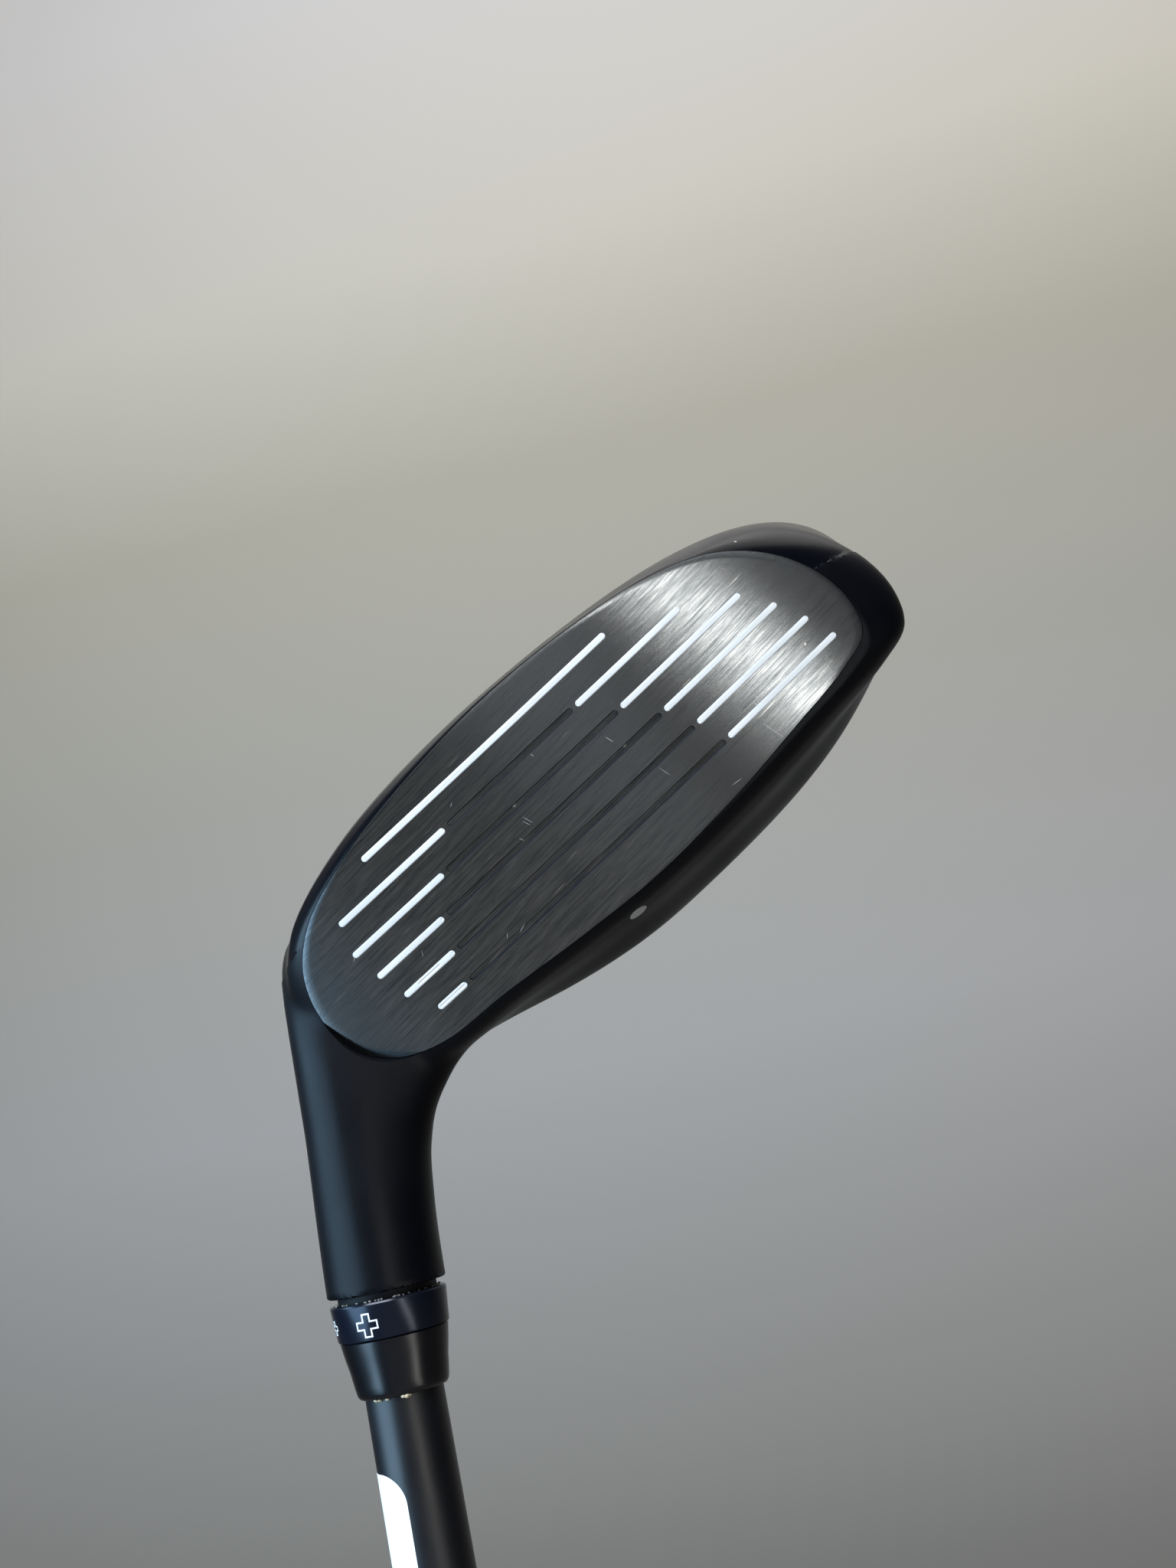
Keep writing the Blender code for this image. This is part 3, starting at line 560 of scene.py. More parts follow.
crown_tree = tree_of(head.data)
nothing_selected()
bpy.ops.mesh.primitive_circle_add(vertices=40, radius=DOT_R * MM, fill_type="TRIFAN")
dot = named("alignment_dot")
edit_all()
bpy.ops.mesh.subdivide(number_cuts=3)
edit_done()
for vertex in dot.data.vertices:
    x, y, z = vertex.co / MM
    start = ADDRESS @ Vector((DOT_AT[0] + x, DOT_AT[1] + 6.0, DOT_AT[2] + y))
    down = ADDRESS.to_3x3() @ Vector((0.0, -1.0, 0.0))
    place, normal = crown_tree.ray_cast(start, down.normalized())[:2]
    vertex.co = place + normal * 0.015 * MM
applied(dot, "SOLIDIFY", thickness=0.05 * MM, offset=-1.0)
smooth(dot, 50)
coat(dot, finish_of("dot_ink", (0.42, 0.43, 0.43), 0.5, grain=6.0, bump=0.000004))
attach(dot, "head")


# ---------------------------------------------------------------- face insert
# A cup of high-strength steel is pressed into the front of the head. Its face is brushed along the
# score lines and darkened; the score lines are cut with round ends, one low row and five rows of three.
ROW_PITCH, SLOT_WIDTH, SLOT_DEPTH = 4.07, 0.86, 0.4
LOW_ROW = (-20.0, 21.5)
TOE_ENDS = (-29.2, -36.1, -38.8, -40.7, -42.0)
HEEL_ENDS = (29.3, 30.8, 30.4, 29.6, 27.6)
INNER_ENDS = (11.3, 15.3, 19.1, 21.1, 22.8)
LAND = 1.4                     # between neighbouring slots in a row
# A slot's sides slope in toward its floor: height from the face, share of the slot's width
SLOT_LEVELS = ((0.3, 0.02), (0.3, 1.3), (-SLOT_DEPTH, 0.68), (-SLOT_DEPTH, 0.02))

edge = grown(rim, -SEAM)
rounded = grown(rim, -SEAM - 0.05)
face_rings = [on_face(rim_centre + (rounded - rim_centre) * share, 0.0) for share in np.linspace(0.02, 1.0, 34)]
face_rings += [on_face(grown(rim, -SEAM - 0.015), -0.015), on_face(edge, -0.05), on_face(edge, -0.9)]
face_rings += [on_face(rim_centre + (edge - rim_centre) * share, -1.2) for share in (0.85, 0.02)]
face = lofted("face_insert", face_rings, ADDRESS)

rows = [(LOW_ROW[0], LOW_ROW[1], -2.5 * ROW_PITCH)]
for i, (toe, heel, inner) in enumerate(zip(TOE_ENDS, HEEL_ENDS, INNER_ENDS)):
    v = (i - 1.5) * ROW_PITCH
    rows += [(toe, -inner, v), (LAND / 2 - inner, inner - LAND / 2, v), (inner, heel, v)]


def slot_outline(start, end, v, half):
    """Round-ended outline of a score line."""
    turns = np.radians(np.linspace(-90, 90, 13))
    far = np.column_stack([end - half + half * np.cos(turns), v + half * np.sin(turns)])
    near = np.column_stack([start + half - half * np.cos(turns), v - half * np.sin(turns)])
    upper = np.column_stack([np.linspace(end - half, start + half, 26)[1:-1], np.full(24, v + half)])
    lower = np.column_stack([np.linspace(start + half, end - half, 26)[1:-1], np.full(24, v - half)])
    return np.vstack([far, upper, near, lower])


def strip_of(name, outline, v, levels):
    """A slim solid over a round-ended outline, its sides stepped in where a level asks for it."""
    rings = []
    for lift, share in levels:
        ring = outline.copy()
        ring[:, 1] = v + (ring[:, 1] - v) * share
        rings.append(on_face(ring, lift))
    return lofted(name, rings, ADDRESS)


for start, end, v in rows:
    combine(face, strip_of("slot", slot_outline(start, end, v, SLOT_WIDTH / 2), v, SLOT_LEVELS), "DIFFERENCE")
smooth(face, 25)

BRUSH_LEAN, BRUSH_UNIT = math.radians(-3.0), 10.0   # its lean off the score lines, and its map's unit
to_face = Matrix.Rotation(LOFT, 4, "X") @ to_address
brushing = face.data.uv_layers.new(name="brushing")
for loop in face.data.loops:
    x, n, v = (Matrix.Rotation(math.radians(90), 4, "X") @ (to_face @ face.data.vertices[loop.vertex_index].co))
    flat = Matrix.Rotation(BRUSH_LEAN, 2) @ Vector((x, v))
    brushing.data[loop.index].uv = flat / BRUSH_UNIT


def brushed_group():
    """Parallel brush strokes along U: their tone, their height, and longer single scratches."""
    tree, given, out = group_with(
        "brush_strokes",
        (("Vector", "NodeSocketVector", None), ("Fineness", "NodeSocketFloat", 1.0)),
        (("Strokes", "NodeSocketFloat"), ("Scratches", "NodeSocketFloat"), ("Cloud", "NodeSocketFloat")))
    layers = []
    for along, across, turn in ((0.55, 30.0, 0.0), (1.4, 62.0, 2.5), (2.2, 18.0, -2.0)):
        laid = add_node(tree, "ShaderNodeMapping", {
            "Vector": given["Vector"], "Rotation": (0.0, 0.0, math.radians(turn)), "Scale": (along, across, 1.0)})
        noise = add_node(tree, "ShaderNodeTexNoise", {
            "Vector": laid.outputs[0], "Scale": given["Fineness"], "Detail": 4.0, "Roughness": 0.65})
        layers.append(noise.outputs[0])
    total = math_node(tree, "ADD", math_node(tree, "ADD", layers[0], layers[1]), layers[2])
    tree.links.new(math_node(tree, "DIVIDE", total, 3.0), out["Strokes"])
    thin = add_node(tree, "ShaderNodeMapping", {
        "Vector": given["Vector"], "Rotation": (0.0, 0.0, math.radians(6.0)), "Scale": (1.1, 26.0, 1.0)})
    cells = add_node(tree, "ShaderNodeTexNoise", {"Vector": thin.outputs[0], "Scale": 1.3, "Detail": 1.0})
    tree.links.new(ramp(tree, cells.outputs[0], 0.72, 0.78), out["Scratches"])
    cloud = add_node(tree, "ShaderNodeTexNoise", {"Vector": given["Vector"], "Scale": 1.6, "Detail": 3.0})
    tree.links.new(cloud.outputs[0], out["Cloud"])
    return tree


BRUSHED = brushed_group()


def brushed_steel(name, uv_map, dark, light, roughness, anisotropic):
    made = bpy.data.materials.new(name)
    made.use_nodes = True
    tree = made.node_tree
    surface = tree.nodes["Principled BSDF"]
    uv = add_node(tree, "ShaderNodeUVMap", uv_map=uv_map).outputs[0]
    strokes = grouped(tree, BRUSHED, Vector=uv, Fineness=1.0)
    where = tree.nodes.new("ShaderNodeTexCoord").outputs["Object"]
    specks = grouped(tree, DUST, Vector=where, Specks_per_mm=0.6, Amount=0.03)
    tone = mixed(tree, ramp(tree, strokes["Strokes"], 0.38, 0.62), dark + (1.0,), light + (1.0,))
    tone = mixed(tree, strokes["Scratches"], tone, (0.45, 0.45, 0.44, 1.0))
    tone = mixed(tree, specks["Mask"], tone, (0.6, 0.6, 0.58, 1.0))
    tree.links.new(tone, surface.inputs["Base Color"])
    shine = ramp(tree, strokes["Strokes"], 0.35, 0.65, roughness + 0.07, roughness - 0.07)
    tree.links.new(shine, surface.inputs["Roughness"])
    relief = add_node(tree, "ShaderNodeBump", {
        "Height": strokes["Strokes"], "Distance": 0.00006, "Strength": 0.5})
    tree.links.new(relief.outputs[0], surface.inputs["Normal"])
    tangent = add_node(tree, "ShaderNodeTangent", direction_type="UV_MAP", uv_map=uv_map)
    tree.links.new(tangent.outputs[0], surface.inputs["Tangent"])
    surface.inputs["Metallic"].default_value = 1.0
    surface.inputs["Anisotropic"].default_value = anisotropic
    surface.inputs["Anisotropic Rotation"].default_value = 0.25
    return made


steel = brushed_steel("brushed_dark_steel", "brushing", (0.085, 0.094, 0.102), (0.25, 0.262, 0.27), 0.24, 1.0)
# The slots' sloping walls take a near-black colour: painted shade standing in for the shadow down inside the score
# lines.
slot_wall_painted_shade = finish_of("slot_wall_painted_shade", (0.01, 0.012, 0.018), 0.5)
coat(face, steel)
face.data.materials.append(slot_wall_painted_shade)
for polygon in face.data.polygons:
    out_of_face = (to_face.to_3x3() @ polygon.normal).normalized()
    place = to_face @ polygon.center
    height = place.z + (place.x**2 + place.y**2) / (2 * BULGE)
    if abs(out_of_face.z) < 0.985 and -SLOT_DEPTH - 0.05 < height < 0.02:
        polygon.material_index = 1
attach(face, "head")
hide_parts("face_plate")


# ---------------------------------------------------------------- nicks in the face
# Play has left a few short bright nicks across the brushing, as fine raised burrs. Each runs between
# two places on the face, toward the heel and up, in millimetres, and has a width.
def joined(name, pieces):
    nothing_selected()
    for piece in pieces:
        piece.select_set(True)
    bpy.context.view_layer.objects.active = pieces[0]
    bpy.ops.object.join()
    whole = named(name)
    smooth(whole, 60)
    return whole


NICKS = (
    (-28.8, 8.8, -29.0, 9.9, 0.10), (-28.1, 9.3, -28.3, 10.1, 0.08), (-27.2, 12.0, -27.9, 15.0, 0.11),
    (-11.3, -0.7, -11.6, 0.4, 0.10), (3.1, -0.5, 2.7, 0.9, 0.07), (3.5, -0.1, 3.1, 0.9, 0.06),
    (5.3, 1.2, 5.0, 1.8, 0.08), (-13.6, 6.8, -14.0, 8.5, 0.06), (-3.0, -5.6, -3.1, -5.1, 0.10),
    (12.2, 9.6, 13.4, 10.0, 0.09), (14.6, 8.9, 15.1, 9.5, 0.08), (-19.0, 15.0, -20.4, 15.2, 0.07),
    (24.0, 3.2, 24.4, 3.9, 0.07), (30.6, -2.0, 31.2, -1.6, 0.09), (8.3, -7.9, 8.8, -7.6, 0.07))
burrs = []
for from_x, from_v, to_x, to_v, width in NICKS:
    run = np.array((to_x - from_x, to_v - from_v))
    side = np.array((-run[1], run[0])) / np.linalg.norm(run) * width / 2
    shares = np.linspace(0, 1, 12)[:, None]
    spine = np.array((from_x, from_v)) + shares * run
    taper = np.sin(math.pi * np.clip(shares, 0.04, 0.96)) ** 0.5
    section = ((1.0, -0.03), (0.6, 0.008), (-0.6, 0.008), (-1.0, -0.03))
    rings = [np.vstack([on_face((spine[i] + side * taper[i] * reach)[None], lift) for reach, lift in section])
             for i in range(12)]
    burrs.append(lofted("burr", rings, ADDRESS))
nicks = joined("face_nicks", burrs)
coat(nicks, finish_of("bright_burr", (0.62, 0.63, 0.63), 0.35, metallic=0.6, grain=9.0, bump=0.000004))
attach(nicks, "head")


# ---------------------------------------------------------------- score-line paint
# White paint is wiped into the low score line and the outer score lines of each row, and fills
# them almost to the face. The middle slots stay bare.
PAINT_LEVELS = (
    (-0.005, 0.02), (-0.008, 0.6), (-0.015, 0.95), (-0.035, 1.0), (-SLOT_DEPTH / 2, 0.84),
    (-SLOT_DEPTH + 0.02, 0.6), (-SLOT_DEPTH + 0.02, 0.02))
painted = [rows[0]] + [row for i, row in enumerate(rows[1:]) if i % 3 != 1]
fills = []
for start, end, v in painted:
    fills.append(strip_of("fill", slot_outline(start, end, v, SLOT_WIDTH / 2), v, PAINT_LEVELS))
paint = joined("score_line_paint", fills)
coat(paint, finish_of("white_paint", (0.83, 0.85, 0.86), 0.42, grain=3.0, bump=0.00001, variation=0.04))
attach(paint, "head")


# ---------------------------------------------------------------- hosel screw, washer and retainer
# A steel screw with a six-lobed socket comes in through the sole and draws the sleeve up into the
# hosel, over a plain washer. A plastic ring keeps the screw in its port.
WASHER, SCREW_HEAD, SCREW_HEAD_R, THREAD_DEPTH = 1.0, 4.0, 3.8, 6.5


def lobed_cutter(outer, low, high, matrix):
    """A six-lobed plug that cuts the socket for a key."""
    turns = np.linspace(0, 2 * math.pi, 72, endpoint=False)
    reach = outer * (0.86 + 0.14 * np.cos(6 * turns))
    rings = [np.column_stack([share * reach * np.cos(turns), share * reach * np.sin(turns), np.full(72, z)])
             for share, z in ((0.03, high), (1.0, high), (1.0, low), (0.03, low - 0.4))]
    return lofted("socket", rings, matrix)


screw_foot = BORE_FLOOR - THREAD_DEPTH + 0.1
screw_seat = BORE_FLOOR + SEAT_WEB + WASHER + 2 * GAP
screw_top = screw_seat + SCREW_HEAD
thread = [(0.0, screw_foot), (SCREW_R - 0.6, screw_foot)]
for z in np.arange(screw_foot + 0.4, BORE_FLOOR - 0.2, 0.8):
    thread += [(SCREW_R - 0.45, z), (SCREW_R, z + 0.4)]
screw = turned("hosel_screw_finished", thread + [
    (SCREW_R - 0.2, BORE_FLOOR + 0.6), (SCREW_R - 0.2, screw_seat), (SCREW_HEAD_R - 0.1, screw_seat),
    (SCREW_HEAD_R, screw_seat + 0.15), (SCREW_HEAD_R, screw_top - 0.55), (SCREW_HEAD_R - 0.12, screw_top - 0.2),
    (SCREW_HEAD_R - 0.4, screw_top), (0.0, screw_top)], 72)
combine(screw, lobed_cutter(2.3, screw_top - 2.5, screw_top + 1.0, MILLIMETRES), "DIFFERENCE")
smooth(screw, 28)
bright_steel = finish_of("zinc_plated_steel", (0.46, 0.46, 0.47), 0.3, metallic=1.0, grain=7.0, bump=0.000006)
coat(screw, bright_steel)
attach(screw, "hosel_screw")
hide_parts("hosel_screw")
coat(nodes["screw_washer"], bright_steel)
coat(nodes["screw_retainer"], finish_of("black_nylon", (0.02, 0.02, 0.021), 0.55, grain=6.0))


# ---------------------------------------------------------------- rear weight and gasket
# A dense turned plug with its own six-lobed socket screws into the rear of the sole, over a rubber
# ring that keeps it from rattling.
weight = turned("rear_weight_finished", (
    (0.0, -WEIGHT_LENGTH), (WEIGHT_SHANK_R - 0.6, -WEIGHT_LENGTH), (WEIGHT_SHANK_R, -WEIGHT_LENGTH + 0.6),
    (WEIGHT_SHANK_R, -WEIGHT_FLANGE), (WEIGHT_R - 0.05, -WEIGHT_FLANGE), (WEIGHT_R, -WEIGHT_FLANGE + 0.1),
    (WEIGHT_R, -0.45), (WEIGHT_R - 0.12, -0.15), (WEIGHT_R - 0.42, 0.0), (4.9, 0.0), (4.8, -0.12),
    (4.5, -0.12), (4.4, 0.0), (0.0, 0.0)), 96, WEIGHT_FRAME)
combine(weight, lobed_cutter(2.9, -3.0, 1.0, WEIGHT_FRAME), "DIFFERENCE")
smooth(weight, 28)
coat(weight, finish_of("dark_tungsten", (0.2, 0.2, 0.205), 0.32, metallic=1.0, grain=8.0, bump=0.000008))
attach(weight, "rear_weight")
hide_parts("rear_weight")
coat(nodes["weight_gasket"], finish_of("gasket_rubber", (0.02, 0.02, 0.02), 0.7, grain=5.0))


# ---------------------------------------------------------------- adapter sleeve
# The aluminium adapter is glued to the shaft's tip. Its collar seats in the hosel and its black
# anodised ring carries the setting marks, two outlined plus signs that are engraved and filled white.
RING_TOP, RING_FOOT = HOSEL_END - 0.9, HOSEL_END - 5.4
RING_R, RING_FOOT_R, SLEEVE_R, TIP_R = 7.4, 7.05, 5.6, 4.75
SLEEVE_TIP, SHAFT_TIP = BORE_FLOOR - GAP, BORE_FLOOR - THREAD_DEPTH - 1.1

bore, collar_top = TIP_R + GAP, HOSEL_END + COLLAR_LENGTH
sleeve = turned("adapter_sleeve", (
    (SCREW_R + GAP, SLEEVE_TIP), (SLEEVE_R - 0.5, SLEEVE_TIP), (SLEEVE_R, SLEEVE_TIP - 0.5),
    (SLEEVE_R, collar_top), (COLLAR_R - 0.2, collar_top), (COLLAR_R, collar_top - 0.2), (COLLAR_R, RING_TOP),
    (RING_R - 0.32, RING_TOP), (RING_R - 0.1, RING_TOP - 0.07), (RING_R, RING_TOP - 0.28),
    (RING_FOOT_R, RING_FOOT + 0.2), (RING_FOOT_R - 0.05, RING_FOOT + 0.06), (RING_FOOT_R - 0.2, RING_FOOT),
    (bore, RING_FOOT), (bore, SHAFT_TIP + GAP), (SCREW_R + GAP, SHAFT_TIP + GAP)), 128)
smooth(sleeve, 30)
coat(sleeve, finish_of("black_anodised", (0.008, 0.012, 0.024), 0.24, metallic=0.5, grain=9.0,
                       bump=0.000004, dust=0.01, variation=0.03))
# The collar above the ring, seen in the gap under the hosel's top, gets a darker, duller colour: painted shade for
# the shadow in that gap.
sleeve.data.materials.append(finish_of("dull_collar_painted_shade", (0.003, 0.0035, 0.005), 0.6, Specular_IOR_Level=0.2))
for polygon in sleeve.data.polygons:
    if polygon.center.z > (RING_TOP + 0.02) * MM:
        polygon.material_index = 1
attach(sleeve, "shaft_assembly")
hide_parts("hosel_sleeve")


def plus_mark(name, span, arm, line, azimuth, height):
    """An outlined plus sign: a square, its four arms drawn out, inset to a line and bent on."""
    nothing_selected()
    bpy.ops.mesh.primitive_plane_add(size=arm)
    mark = named(name)
    bpy.ops.object.mode_set(mode="EDIT")
    for x, y in ((1, 0), (-1, 0), (0, 1), (0, -1)):
        bpy.ops.mesh.select_all(action="DESELECT")
        edit_done()
        for mark_edge in mark.data.edges:
            ends = [mark.data.vertices[i].co for i in mark_edge.vertices]
            middle = (ends[0] + ends[1]) / 2
            mark_edge.select = (middle - Vector((x, y, 0)) * arm / 2).length < 0.01
        bpy.ops.object.mode_set(mode="EDIT")
        bpy.ops.mesh.select_mode(type="EDGE")
        bpy.ops.mesh.extrude_region_move(
            TRANSFORM_OT_translate={"value": (x * (span - arm) / 2, y * (span - arm) / 2, 0)})
    bpy.ops.mesh.select_mode(type="FACE")
    bpy.ops.mesh.select_all(action="SELECT")
    bpy.ops.mesh.inset(thickness=line, use_boundary=True)
    bpy.ops.mesh.delete(type="FACE")
    bpy.ops.mesh.select_all(action="SELECT")
    bpy.ops.mesh.subdivide(number_cuts=3)
    edit_done()
    for vertex in mark.data.vertices:
        x, y, z = vertex.co
        z = height + y
        radius = float(np.interp(z, (RING_FOOT + 0.2, RING_TOP - 0.28), (RING_FOOT_R, RING_R))) + 0.012
        turn = math.radians(azimuth) + x / radius
        vertex.co = Vector((radius * math.cos(turn), radius * math.sin(turn), z)) * MM
    applied(mark, "SOLIDIFY", thickness=0.06 * MM, offset=-1.0)
    smooth(mark, 40)
    coat(mark, mark_white)
    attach(mark, "shaft_assembly")


mark_white = finish_of("mark_white", (0.72, 0.74, 0.76), 0.5, grain=3.0, bump=0.000006)
plus_mark("large_plus_mark", 2.9, 1.1, 0.2, -98.4, HOSEL_END - 3.5)
plus_mark("small_plus_mark", 1.8, 0.7, 0.18, -149.0, HOSEL_END - 3.4)


# ---------------------------------------------------------------- ferrule
# A tapered ring of black plastic, turned down on the shaft and glued against the adapter's ring.
# Specks of epoxy have squeezed out under its lip, and grit has collected in the gap above the ring.
FERRULE_FOOT, FERRULE_R, FERRULE_FOOT_R, FERRULE_SHAFT_R = HOSEL_END - 12.5, 6.85, 5.75, 4.95
ferrule_top = RING_FOOT - 0.05

ferrule = turned("ferrule_finished", (
    (FERRULE_SHAFT_R + 0.05, ferrule_top), (FERRULE_R - 0.1, ferrule_top), (FERRULE_R, ferrule_top - 0.12),
    (6.55, ferrule_top - 2.0), (6.2, ferrule_top - 3.8), (5.98, FERRULE_FOOT + 1.6),
    (FERRULE_FOOT_R + 0.09, FERRULE_FOOT + 0.75), (FERRULE_FOOT_R, FERRULE_FOOT + 0.4),
    (5.6, FERRULE_FOOT + 0.14), (5.4, FERRULE_FOOT), (FERRULE_SHAFT_R + 0.05, FERRULE_FOOT)), 128)
smooth(ferrule, 35)
coat(ferrule, finish_of("ferrule_plastic", (0.0015, 0.002, 0.004), 0.27, grain=7.0, bump=0.000006,
                        dust=0.01, variation=0.04))
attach(ferrule, "shaft_assembly")
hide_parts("ferrule")


def crumb(place, size, seed):
    """A small irregular blob: a ball knocked out of round."""
    nothing_selected()
    bpy.ops.mesh.primitive_ico_sphere_add(subdivisions=2, radius=size * MM)
    blob = bpy.context.object
    uneven = np.random.default_rng(seed)
    for vertex in blob.data.vertices:
        vertex.co *= 1 + 0.35 * (uneven.random() - 0.5)
        vertex.co.z *= 0.75
    blob.data.transform(Matrix.Translation(Vector(place) * MM))
    return blob


EPOXY = ((-115.7, 0.34, 0.0), (-110.0, 0.26, 0.05), (-97.9, 0.28, 0.02), (-74.5, 0.4, 0.0), (-70.5, 0.42, 0.03),
         (-66.5, 0.26, 0.0), (20.0, 0.3, 0.0), (96.0, 0.36, 0.0))
specks = []
for i, (azimuth, size, drop) in enumerate(EPOXY):
    turn = math.radians(azimuth)
    radius = FERRULE_SHAFT_R + 0.2
    specks.append(crumb((radius * math.cos(turn), radius * math.sin(turn), FERRULE_FOOT - 0.05 - drop), size, i))
epoxy = joined("epoxy_specks", specks)
coat(epoxy, finish_of("dried_epoxy", (0.55, 0.48, 0.34), 0.45, grain=3.0))
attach(epoxy, "shaft_assembly")

grit_places = np.random.default_rng(4)
bits = []
for i in range(46):
    turn = grit_places.uniform(-2.9, 0.6)
    radius = COLLAR_R + grit_places.uniform(0.05, 0.6)
    size = grit_places.uniform(0.05, 0.15)
    bits.append(crumb((radius * math.cos(turn), radius * math.sin(turn), RING_TOP + size * 0.7), size, 100 + i))
grit = joined("gap_grit", bits)
coat(grit, finish_of("grit", (0.32, 0.31, 0.3), 0.8, grain=3.0))
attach(grit, "shaft_assembly")


# ---------------------------------------------------------------- shaft and label
# The shaft is a tapered graphite tube with a satin dark coat, glued into the adapter. A blank white
# paper label with round corners is stuck part of the way round it, a little above the ferrule.
SHAFT_BUTT, BUTT_R = 4.6, 7.6
LABEL_TOP, LABEL_LENGTH, LABEL_EDGES, LABEL_CORNER = CLUB_CENTRE - 60.2, 70.0, (138.0, 264.5), 3.6


def shaft_radius(height):
    return float(np.interp(height, (0.0, 260.0, 880.0, FERRULE_FOOT, 967.0),
                           (BUTT_R, 7.45, FERRULE_SHAFT_R + 0.1, FERRULE_SHAFT_R, TIP_R)))


heights = (SHAFT_TIP, FERRULE_FOOT + 2.0, FERRULE_FOOT - 4.0, 880.0, 780.0, 570.0, 400.0, 260.0, SHAFT_BUTT)
shaft = turned("shaft_finished", [(shaft_radius(z), z) for z in heights] + [
    (5.9, SHAFT_BUTT), (5.7, 260.0), (3.4, 900.0), (2.7, SHAFT_TIP)], 128)
smooth(shaft, 30)
coat(shaft, finish_of("shaft_coat", (0.0022, 0.0028, 0.0052), 0.38, grain=6.0, bump=0.000006, dust=0.006,
                      variation=0.03))
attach(shaft, "shaft_assembly")
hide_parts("shaft")
coat(nodes["tip_plug"], finish_of("cork_plug", (0.5, 0.42, 0.28), 0.85, grain=2.0, bump=0.00005))

label_low = LABEL_TOP - LABEL_LENGTH
first, last = (math.radians(part) for part in LABEL_EDGES)
ends = LABEL_CORNER * (1 - np.cos(np.linspace(0, math.pi / 2, 12)))
label_rows = []
for z in np.concatenate([label_low + ends, np.linspace(label_low, LABEL_TOP, 30)[2:-2], (LABEL_TOP - ends)[::-1]]):
    radius = shaft_radius(z) + 0.04
    from_end = min(z - label_low, LABEL_TOP - z, LABEL_CORNER)
    inset = LABEL_CORNER - math.sqrt(max(0.0, LABEL_CORNER**2 - (LABEL_CORNER - from_end)**2))
    turns = np.linspace(first + inset / radius, last - inset / radius, 48)
    label_rows.append(np.column_stack([radius * np.cos(turns), radius * np.sin(turns), np.full(48, z)]))
label = sheet_of("shaft_label_finished", label_rows, MILLIMETRES, closed=False)
edit_all()
bpy.ops.mesh.normals_make_consistent(inside=False)
edit_done()
applied(label, "SOLIDIFY", thickness=0.12 * MM, offset=1.0)
smooth(label, 40)
coat(label, finish_of("label_paper", (0.82, 0.83, 0.83), 0.55, grain=2.5, bump=0.00001, variation=0.03))
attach(label, "shaft_assembly")
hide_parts("shaft_label")


# ---------------------------------------------------------------- grip, tape and cap
# A slip-on rubber grip goes over a turn of double-sided tape on the butt. It is moulded with shallow
# rings in two bands, and its flat end cap carries a vent hole.
GRIP_R, GRIP_MOUTH_R, GRIP_CAP, GRIP_LENGTH, TAPE = 13.3, 9.9, 4.0, 268.0, 0.3


def grip_radius(z):
    return float(np.interp(z, (GRIP_CAP, 40.0, 130.0, 240.0, 262.0),
                           (GRIP_R, GRIP_R - 0.5, 11.6, GRIP_MOUTH_R + 0.3, GRIP_MOUTH_R)))


low = GRIP_CAP + 0.05
outside = [(GRIP_R - 0.15, low), (GRIP_R, low + 0.2)]
for z in np.arange(14.0, 250.0, 3.4):
    depth = 0.32 if (z < 118.0 or z > 150.0) and z < 232.0 else 0.0
    outside += [(grip_radius(z - 0.9), z - 0.9), (grip_radius(z - 0.5) - depth, z - 0.5),
                (grip_radius(z + 0.5) - depth, z + 0.5), (grip_radius(z + 0.9), z + 0.9)]
outside += [(GRIP_MOUTH_R, 260.0), (GRIP_MOUTH_R + 0.25, 264.0), (GRIP_MOUTH_R + 0.2, 266.6),
            (GRIP_MOUTH_R - 0.2, GRIP_LENGTH)]
inside = [(shaft_radius(z) + 2 * GAP + TAPE, z) for z in (GRIP_LENGTH, 130.0, low)]
grip = turned("grip_finished", outside + inside, 96)
smooth(grip, 40)
grip_rubber = finish_of("grip_rubber", (0.016, 0.016, 0.017), 0.72, grain=2.6, bump=0.00006, dust=0.02)
coat(grip, grip_rubber)
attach(grip, "shaft_assembly")
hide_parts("grip")

cap = turned("grip_cap_finished", (
    (0.0, 1.6), (0.9, 1.6), (1.0, 0.1), (1.2, 0.0), (GRIP_R - 3.2, 0.0), (GRIP_R - 3.0, 0.25), (GRIP_R - 2.5, 0.25),
    (GRIP_R - 2.3, 0.0), (GRIP_R - 1.3, 0.0), (GRIP_R - 0.5, 0.3), (GRIP_R - 0.1, 0.9), (GRIP_R, 1.8),
    (GRIP_R, GRIP_CAP - 0.15), (GRIP_R - 0.15, GRIP_CAP), (0.0, GRIP_CAP)), 96)
smooth(cap, 40)
coat(cap, grip_rubber)
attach(cap, "shaft_assembly")
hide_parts("grip_cap")
coat(nodes["grip_tape"], finish_of("grip_tape", (0.55, 0.5, 0.38), 0.8, grain=2.0, bump=0.00003))


# ---------------------------------------------------------------- studio
# A pale floor under the butt runs up into a plain wall behind the club. Their colour is graded from dark at the
# floor to light high on the wall: painted shade for light that falls from above. A cool window light stands to the
# left, a narrow warm one in front to the right, a key above the face and a dim panel before it.
WALL_Y, WALL_TOP, ROOM_HALF = 1.5, 4.5, 4.0

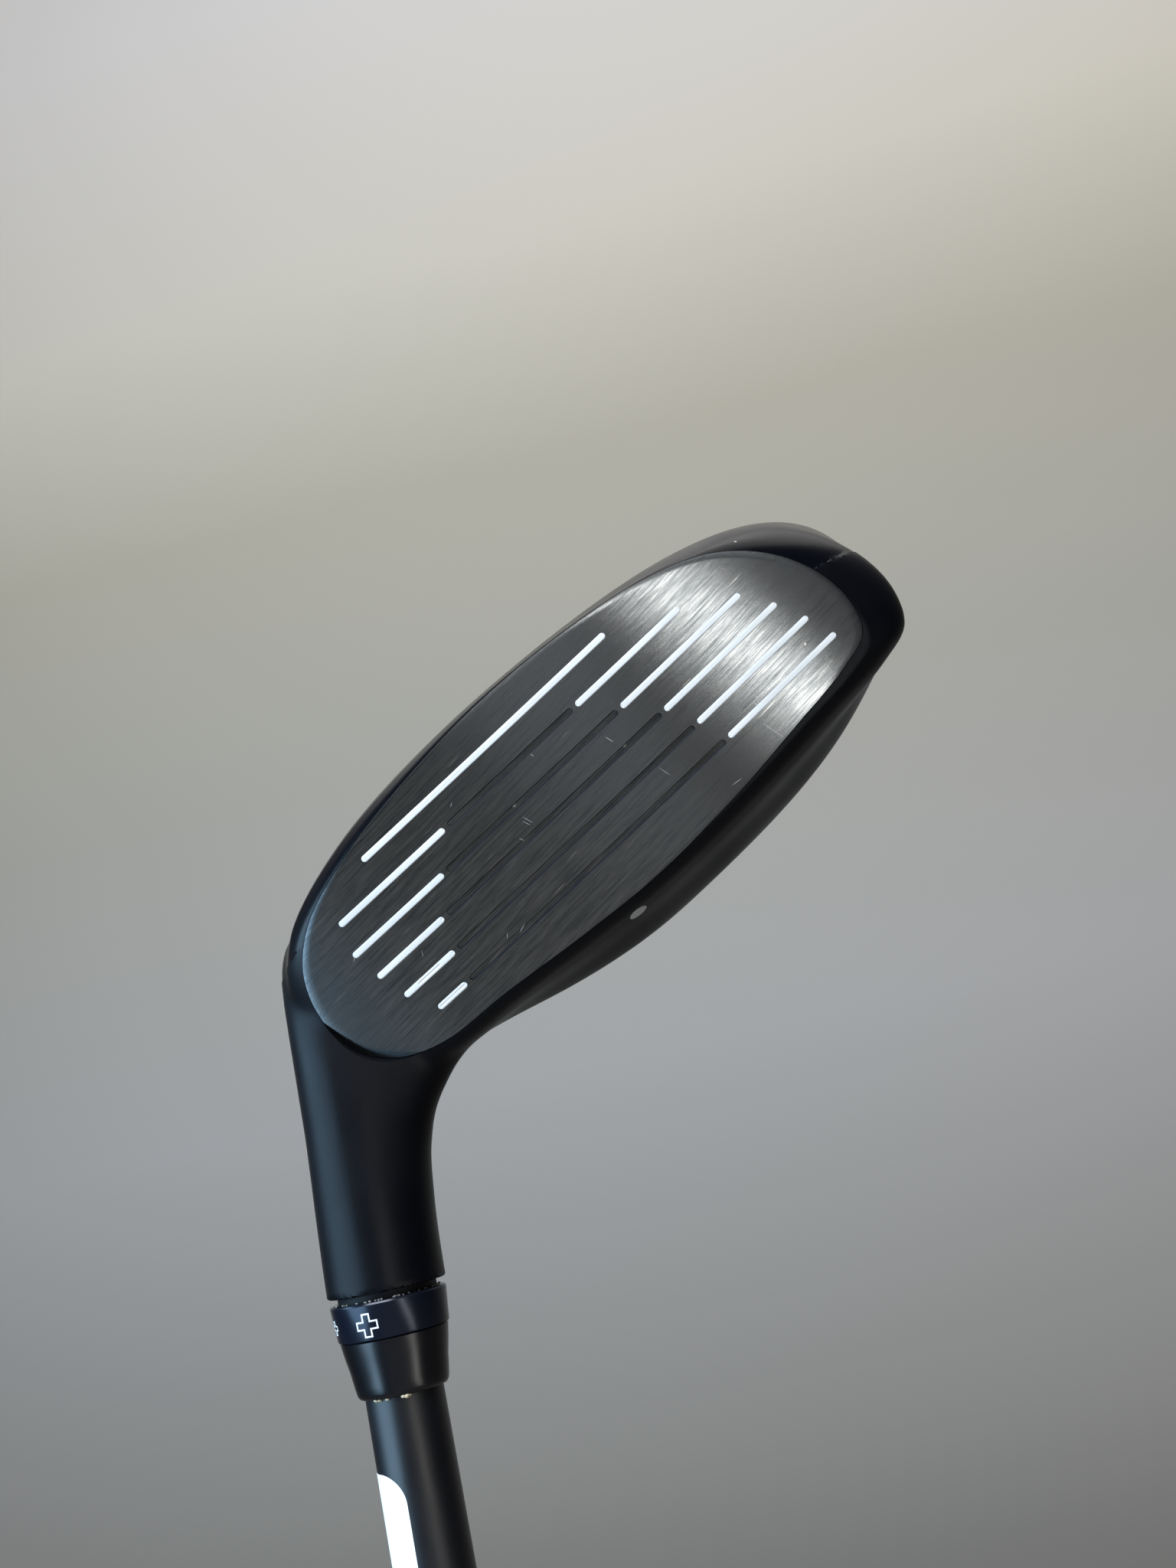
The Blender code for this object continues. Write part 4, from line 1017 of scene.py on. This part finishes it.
nothing_selected()
bpy.ops.mesh.primitive_plane_add(size=2 * ROOM_HALF, location=(0, WALL_Y - ROOM_HALF, 0))
floor = named("studio_floor")
bpy.ops.object.transform_apply(location=True)
for edge_of_floor in floor.data.edges:
    ends_at = [floor.data.vertices[i].co.y for i in edge_of_floor.vertices]
    edge_of_floor.select = min(ends_at) > WALL_Y - 0.01
for vertex in floor.data.vertices:
    vertex.select = vertex.co.y > WALL_Y - 0.01
for polygon in floor.data.polygons:
    polygon.select = False
bpy.ops.object.mode_set(mode="EDIT")
bpy.ops.mesh.select_mode(type="EDGE")
bpy.ops.mesh.extrude_region_move(TRANSFORM_OT_translate={"value": (0, 0, WALL_TOP)})
edit_done()
applied(floor, "BEVEL", width=0.5, segments=16, limit_method="ANGLE")
smooth(floor, 60)

wall_painted_shade = bpy.data.materials.new("wall_painted_shade")
wall_painted_shade.use_nodes = True
tree = wall_painted_shade.node_tree
surface = tree.nodes["Principled BSDF"]
where = tree.nodes.new("ShaderNodeTexCoord").outputs["Object"]
place = add_node(tree, "ShaderNodeSeparateXYZ", {0: where})
height = ramp(tree, place.outputs["Z"], 0.4, 2.4)
bands = add_node(tree, "ShaderNodeValToRGB", {0: height})
# Colours by height: dark at the floor and lightening up the wall, painted shade and light standing in for the lamps
# above.
WALL_SHADE_BANDS = ((0.0, (0.21, 0.19, 0.17)), (0.12, (0.34, 0.31, 0.28)), (0.32, (0.47, 0.435, 0.41)),
              (0.5, (0.47, 0.43, 0.37)), (0.66, (0.53, 0.475, 0.385)), (0.8, (0.74, 0.67, 0.57)),
              (1.0, (0.82, 0.765, 0.73)))
for i, (at, colour) in enumerate(WALL_SHADE_BANDS):
    stop = bands.color_ramp.elements[i] if i < 2 else bands.color_ramp.elements.new(at)
    stop.position, stop.color = at, colour + (1.0,)
tree.links.new(bands.outputs[0], surface.inputs["Base Color"])
surface.inputs["Roughness"].default_value = 0.95
surface.inputs["Specular IOR Level"].default_value = 0.0
coat(floor, wall_painted_shade)


def softbox(name, towards, distance, size, power, colour, lean=0.0):
    """A rectangular light facing the head, its width laid along the score lines or leaning off them."""
    towards = Vector(towards).normalized()
    lamp = bpy.data.lights.new(name, "AREA")
    lamp.shape = "RECTANGLE"
    lamp.size, lamp.size_y = size
    lamp.energy = power
    lamp.color = colour
    lit = bpy.data.objects.new(name, lamp)
    across = (TOEWARD - TOEWARD.dot(towards) * towards).normalized()
    facing = Matrix((across, towards.cross(across), towards)).transposed() @ Matrix.Rotation(lean, 3, "Z")
    lit.matrix_world = Matrix.Translation(HEAD_MIDDLE + towards * distance) @ facing.to_4x4()
    bpy.context.scene.collection.objects.link(lit)


TOEWARD, HEAD_MIDDLE = Vector((0.8616, 0.0, 0.5075)), Vector((0.034, -0.01, 1.004))
softbox("window_left", (-0.88, -0.47, 0.05), 1.1, (0.75, 1.5), 24.0, (0.46, 0.74, 1.0))
softbox("lamp_front_right", (0.574, -0.78, -0.25), 1.0, (0.06, 1.15), 2.1, (1.0, 0.98, 0.93), math.radians(9.0))
softbox("dim_wall_front", (0.05, -0.93, -0.35), 1.3, (0.85, 1.7), 0.8, (0.9, 0.96, 1.0))
softbox("key_overhead", (-0.12, -0.66, 0.74), 1.25, (0.9, 0.7), 26.0, (0.97, 0.98, 1.0))
softbox("ceiling", (0.2, 0.1, 1.0), 2.6, (3.0, 3.0), 60.0, (1.0, 0.98, 0.95))

world = bpy.data.worlds.new("dim_room")
world.use_nodes = True
tree = world.node_tree
seen = add_node(tree, "ShaderNodeLightPath").outputs["Is Camera Ray"]
background = tree.nodes["Background"]
background.inputs["Color"].default_value = (0.92, 0.96, 1.0, 1.0)
tree.links.new(ramp(tree, seen, 0.0, 1.0, 0.022, 0.5), background.inputs["Strength"])
bpy.context.scene.world = world

lens = bpy.data.cameras.new("camera")
lens.sensor_fit = "VERTICAL"
lens.sensor_height = 36.0
lens.lens = 36.914
lens.clip_start = 0.01
camera = bpy.data.objects.new("camera", lens)
camera.location = (0.06429, -0.20467, 0.96257)
camera.rotation_euler = [math.radians(part) for part in (102.44167, 11.64987, 9.75621)]
bpy.context.scene.collection.objects.link(camera)
bpy.context.scene.camera = camera
bpy.context.scene.view_settings.view_transform = "Standard"
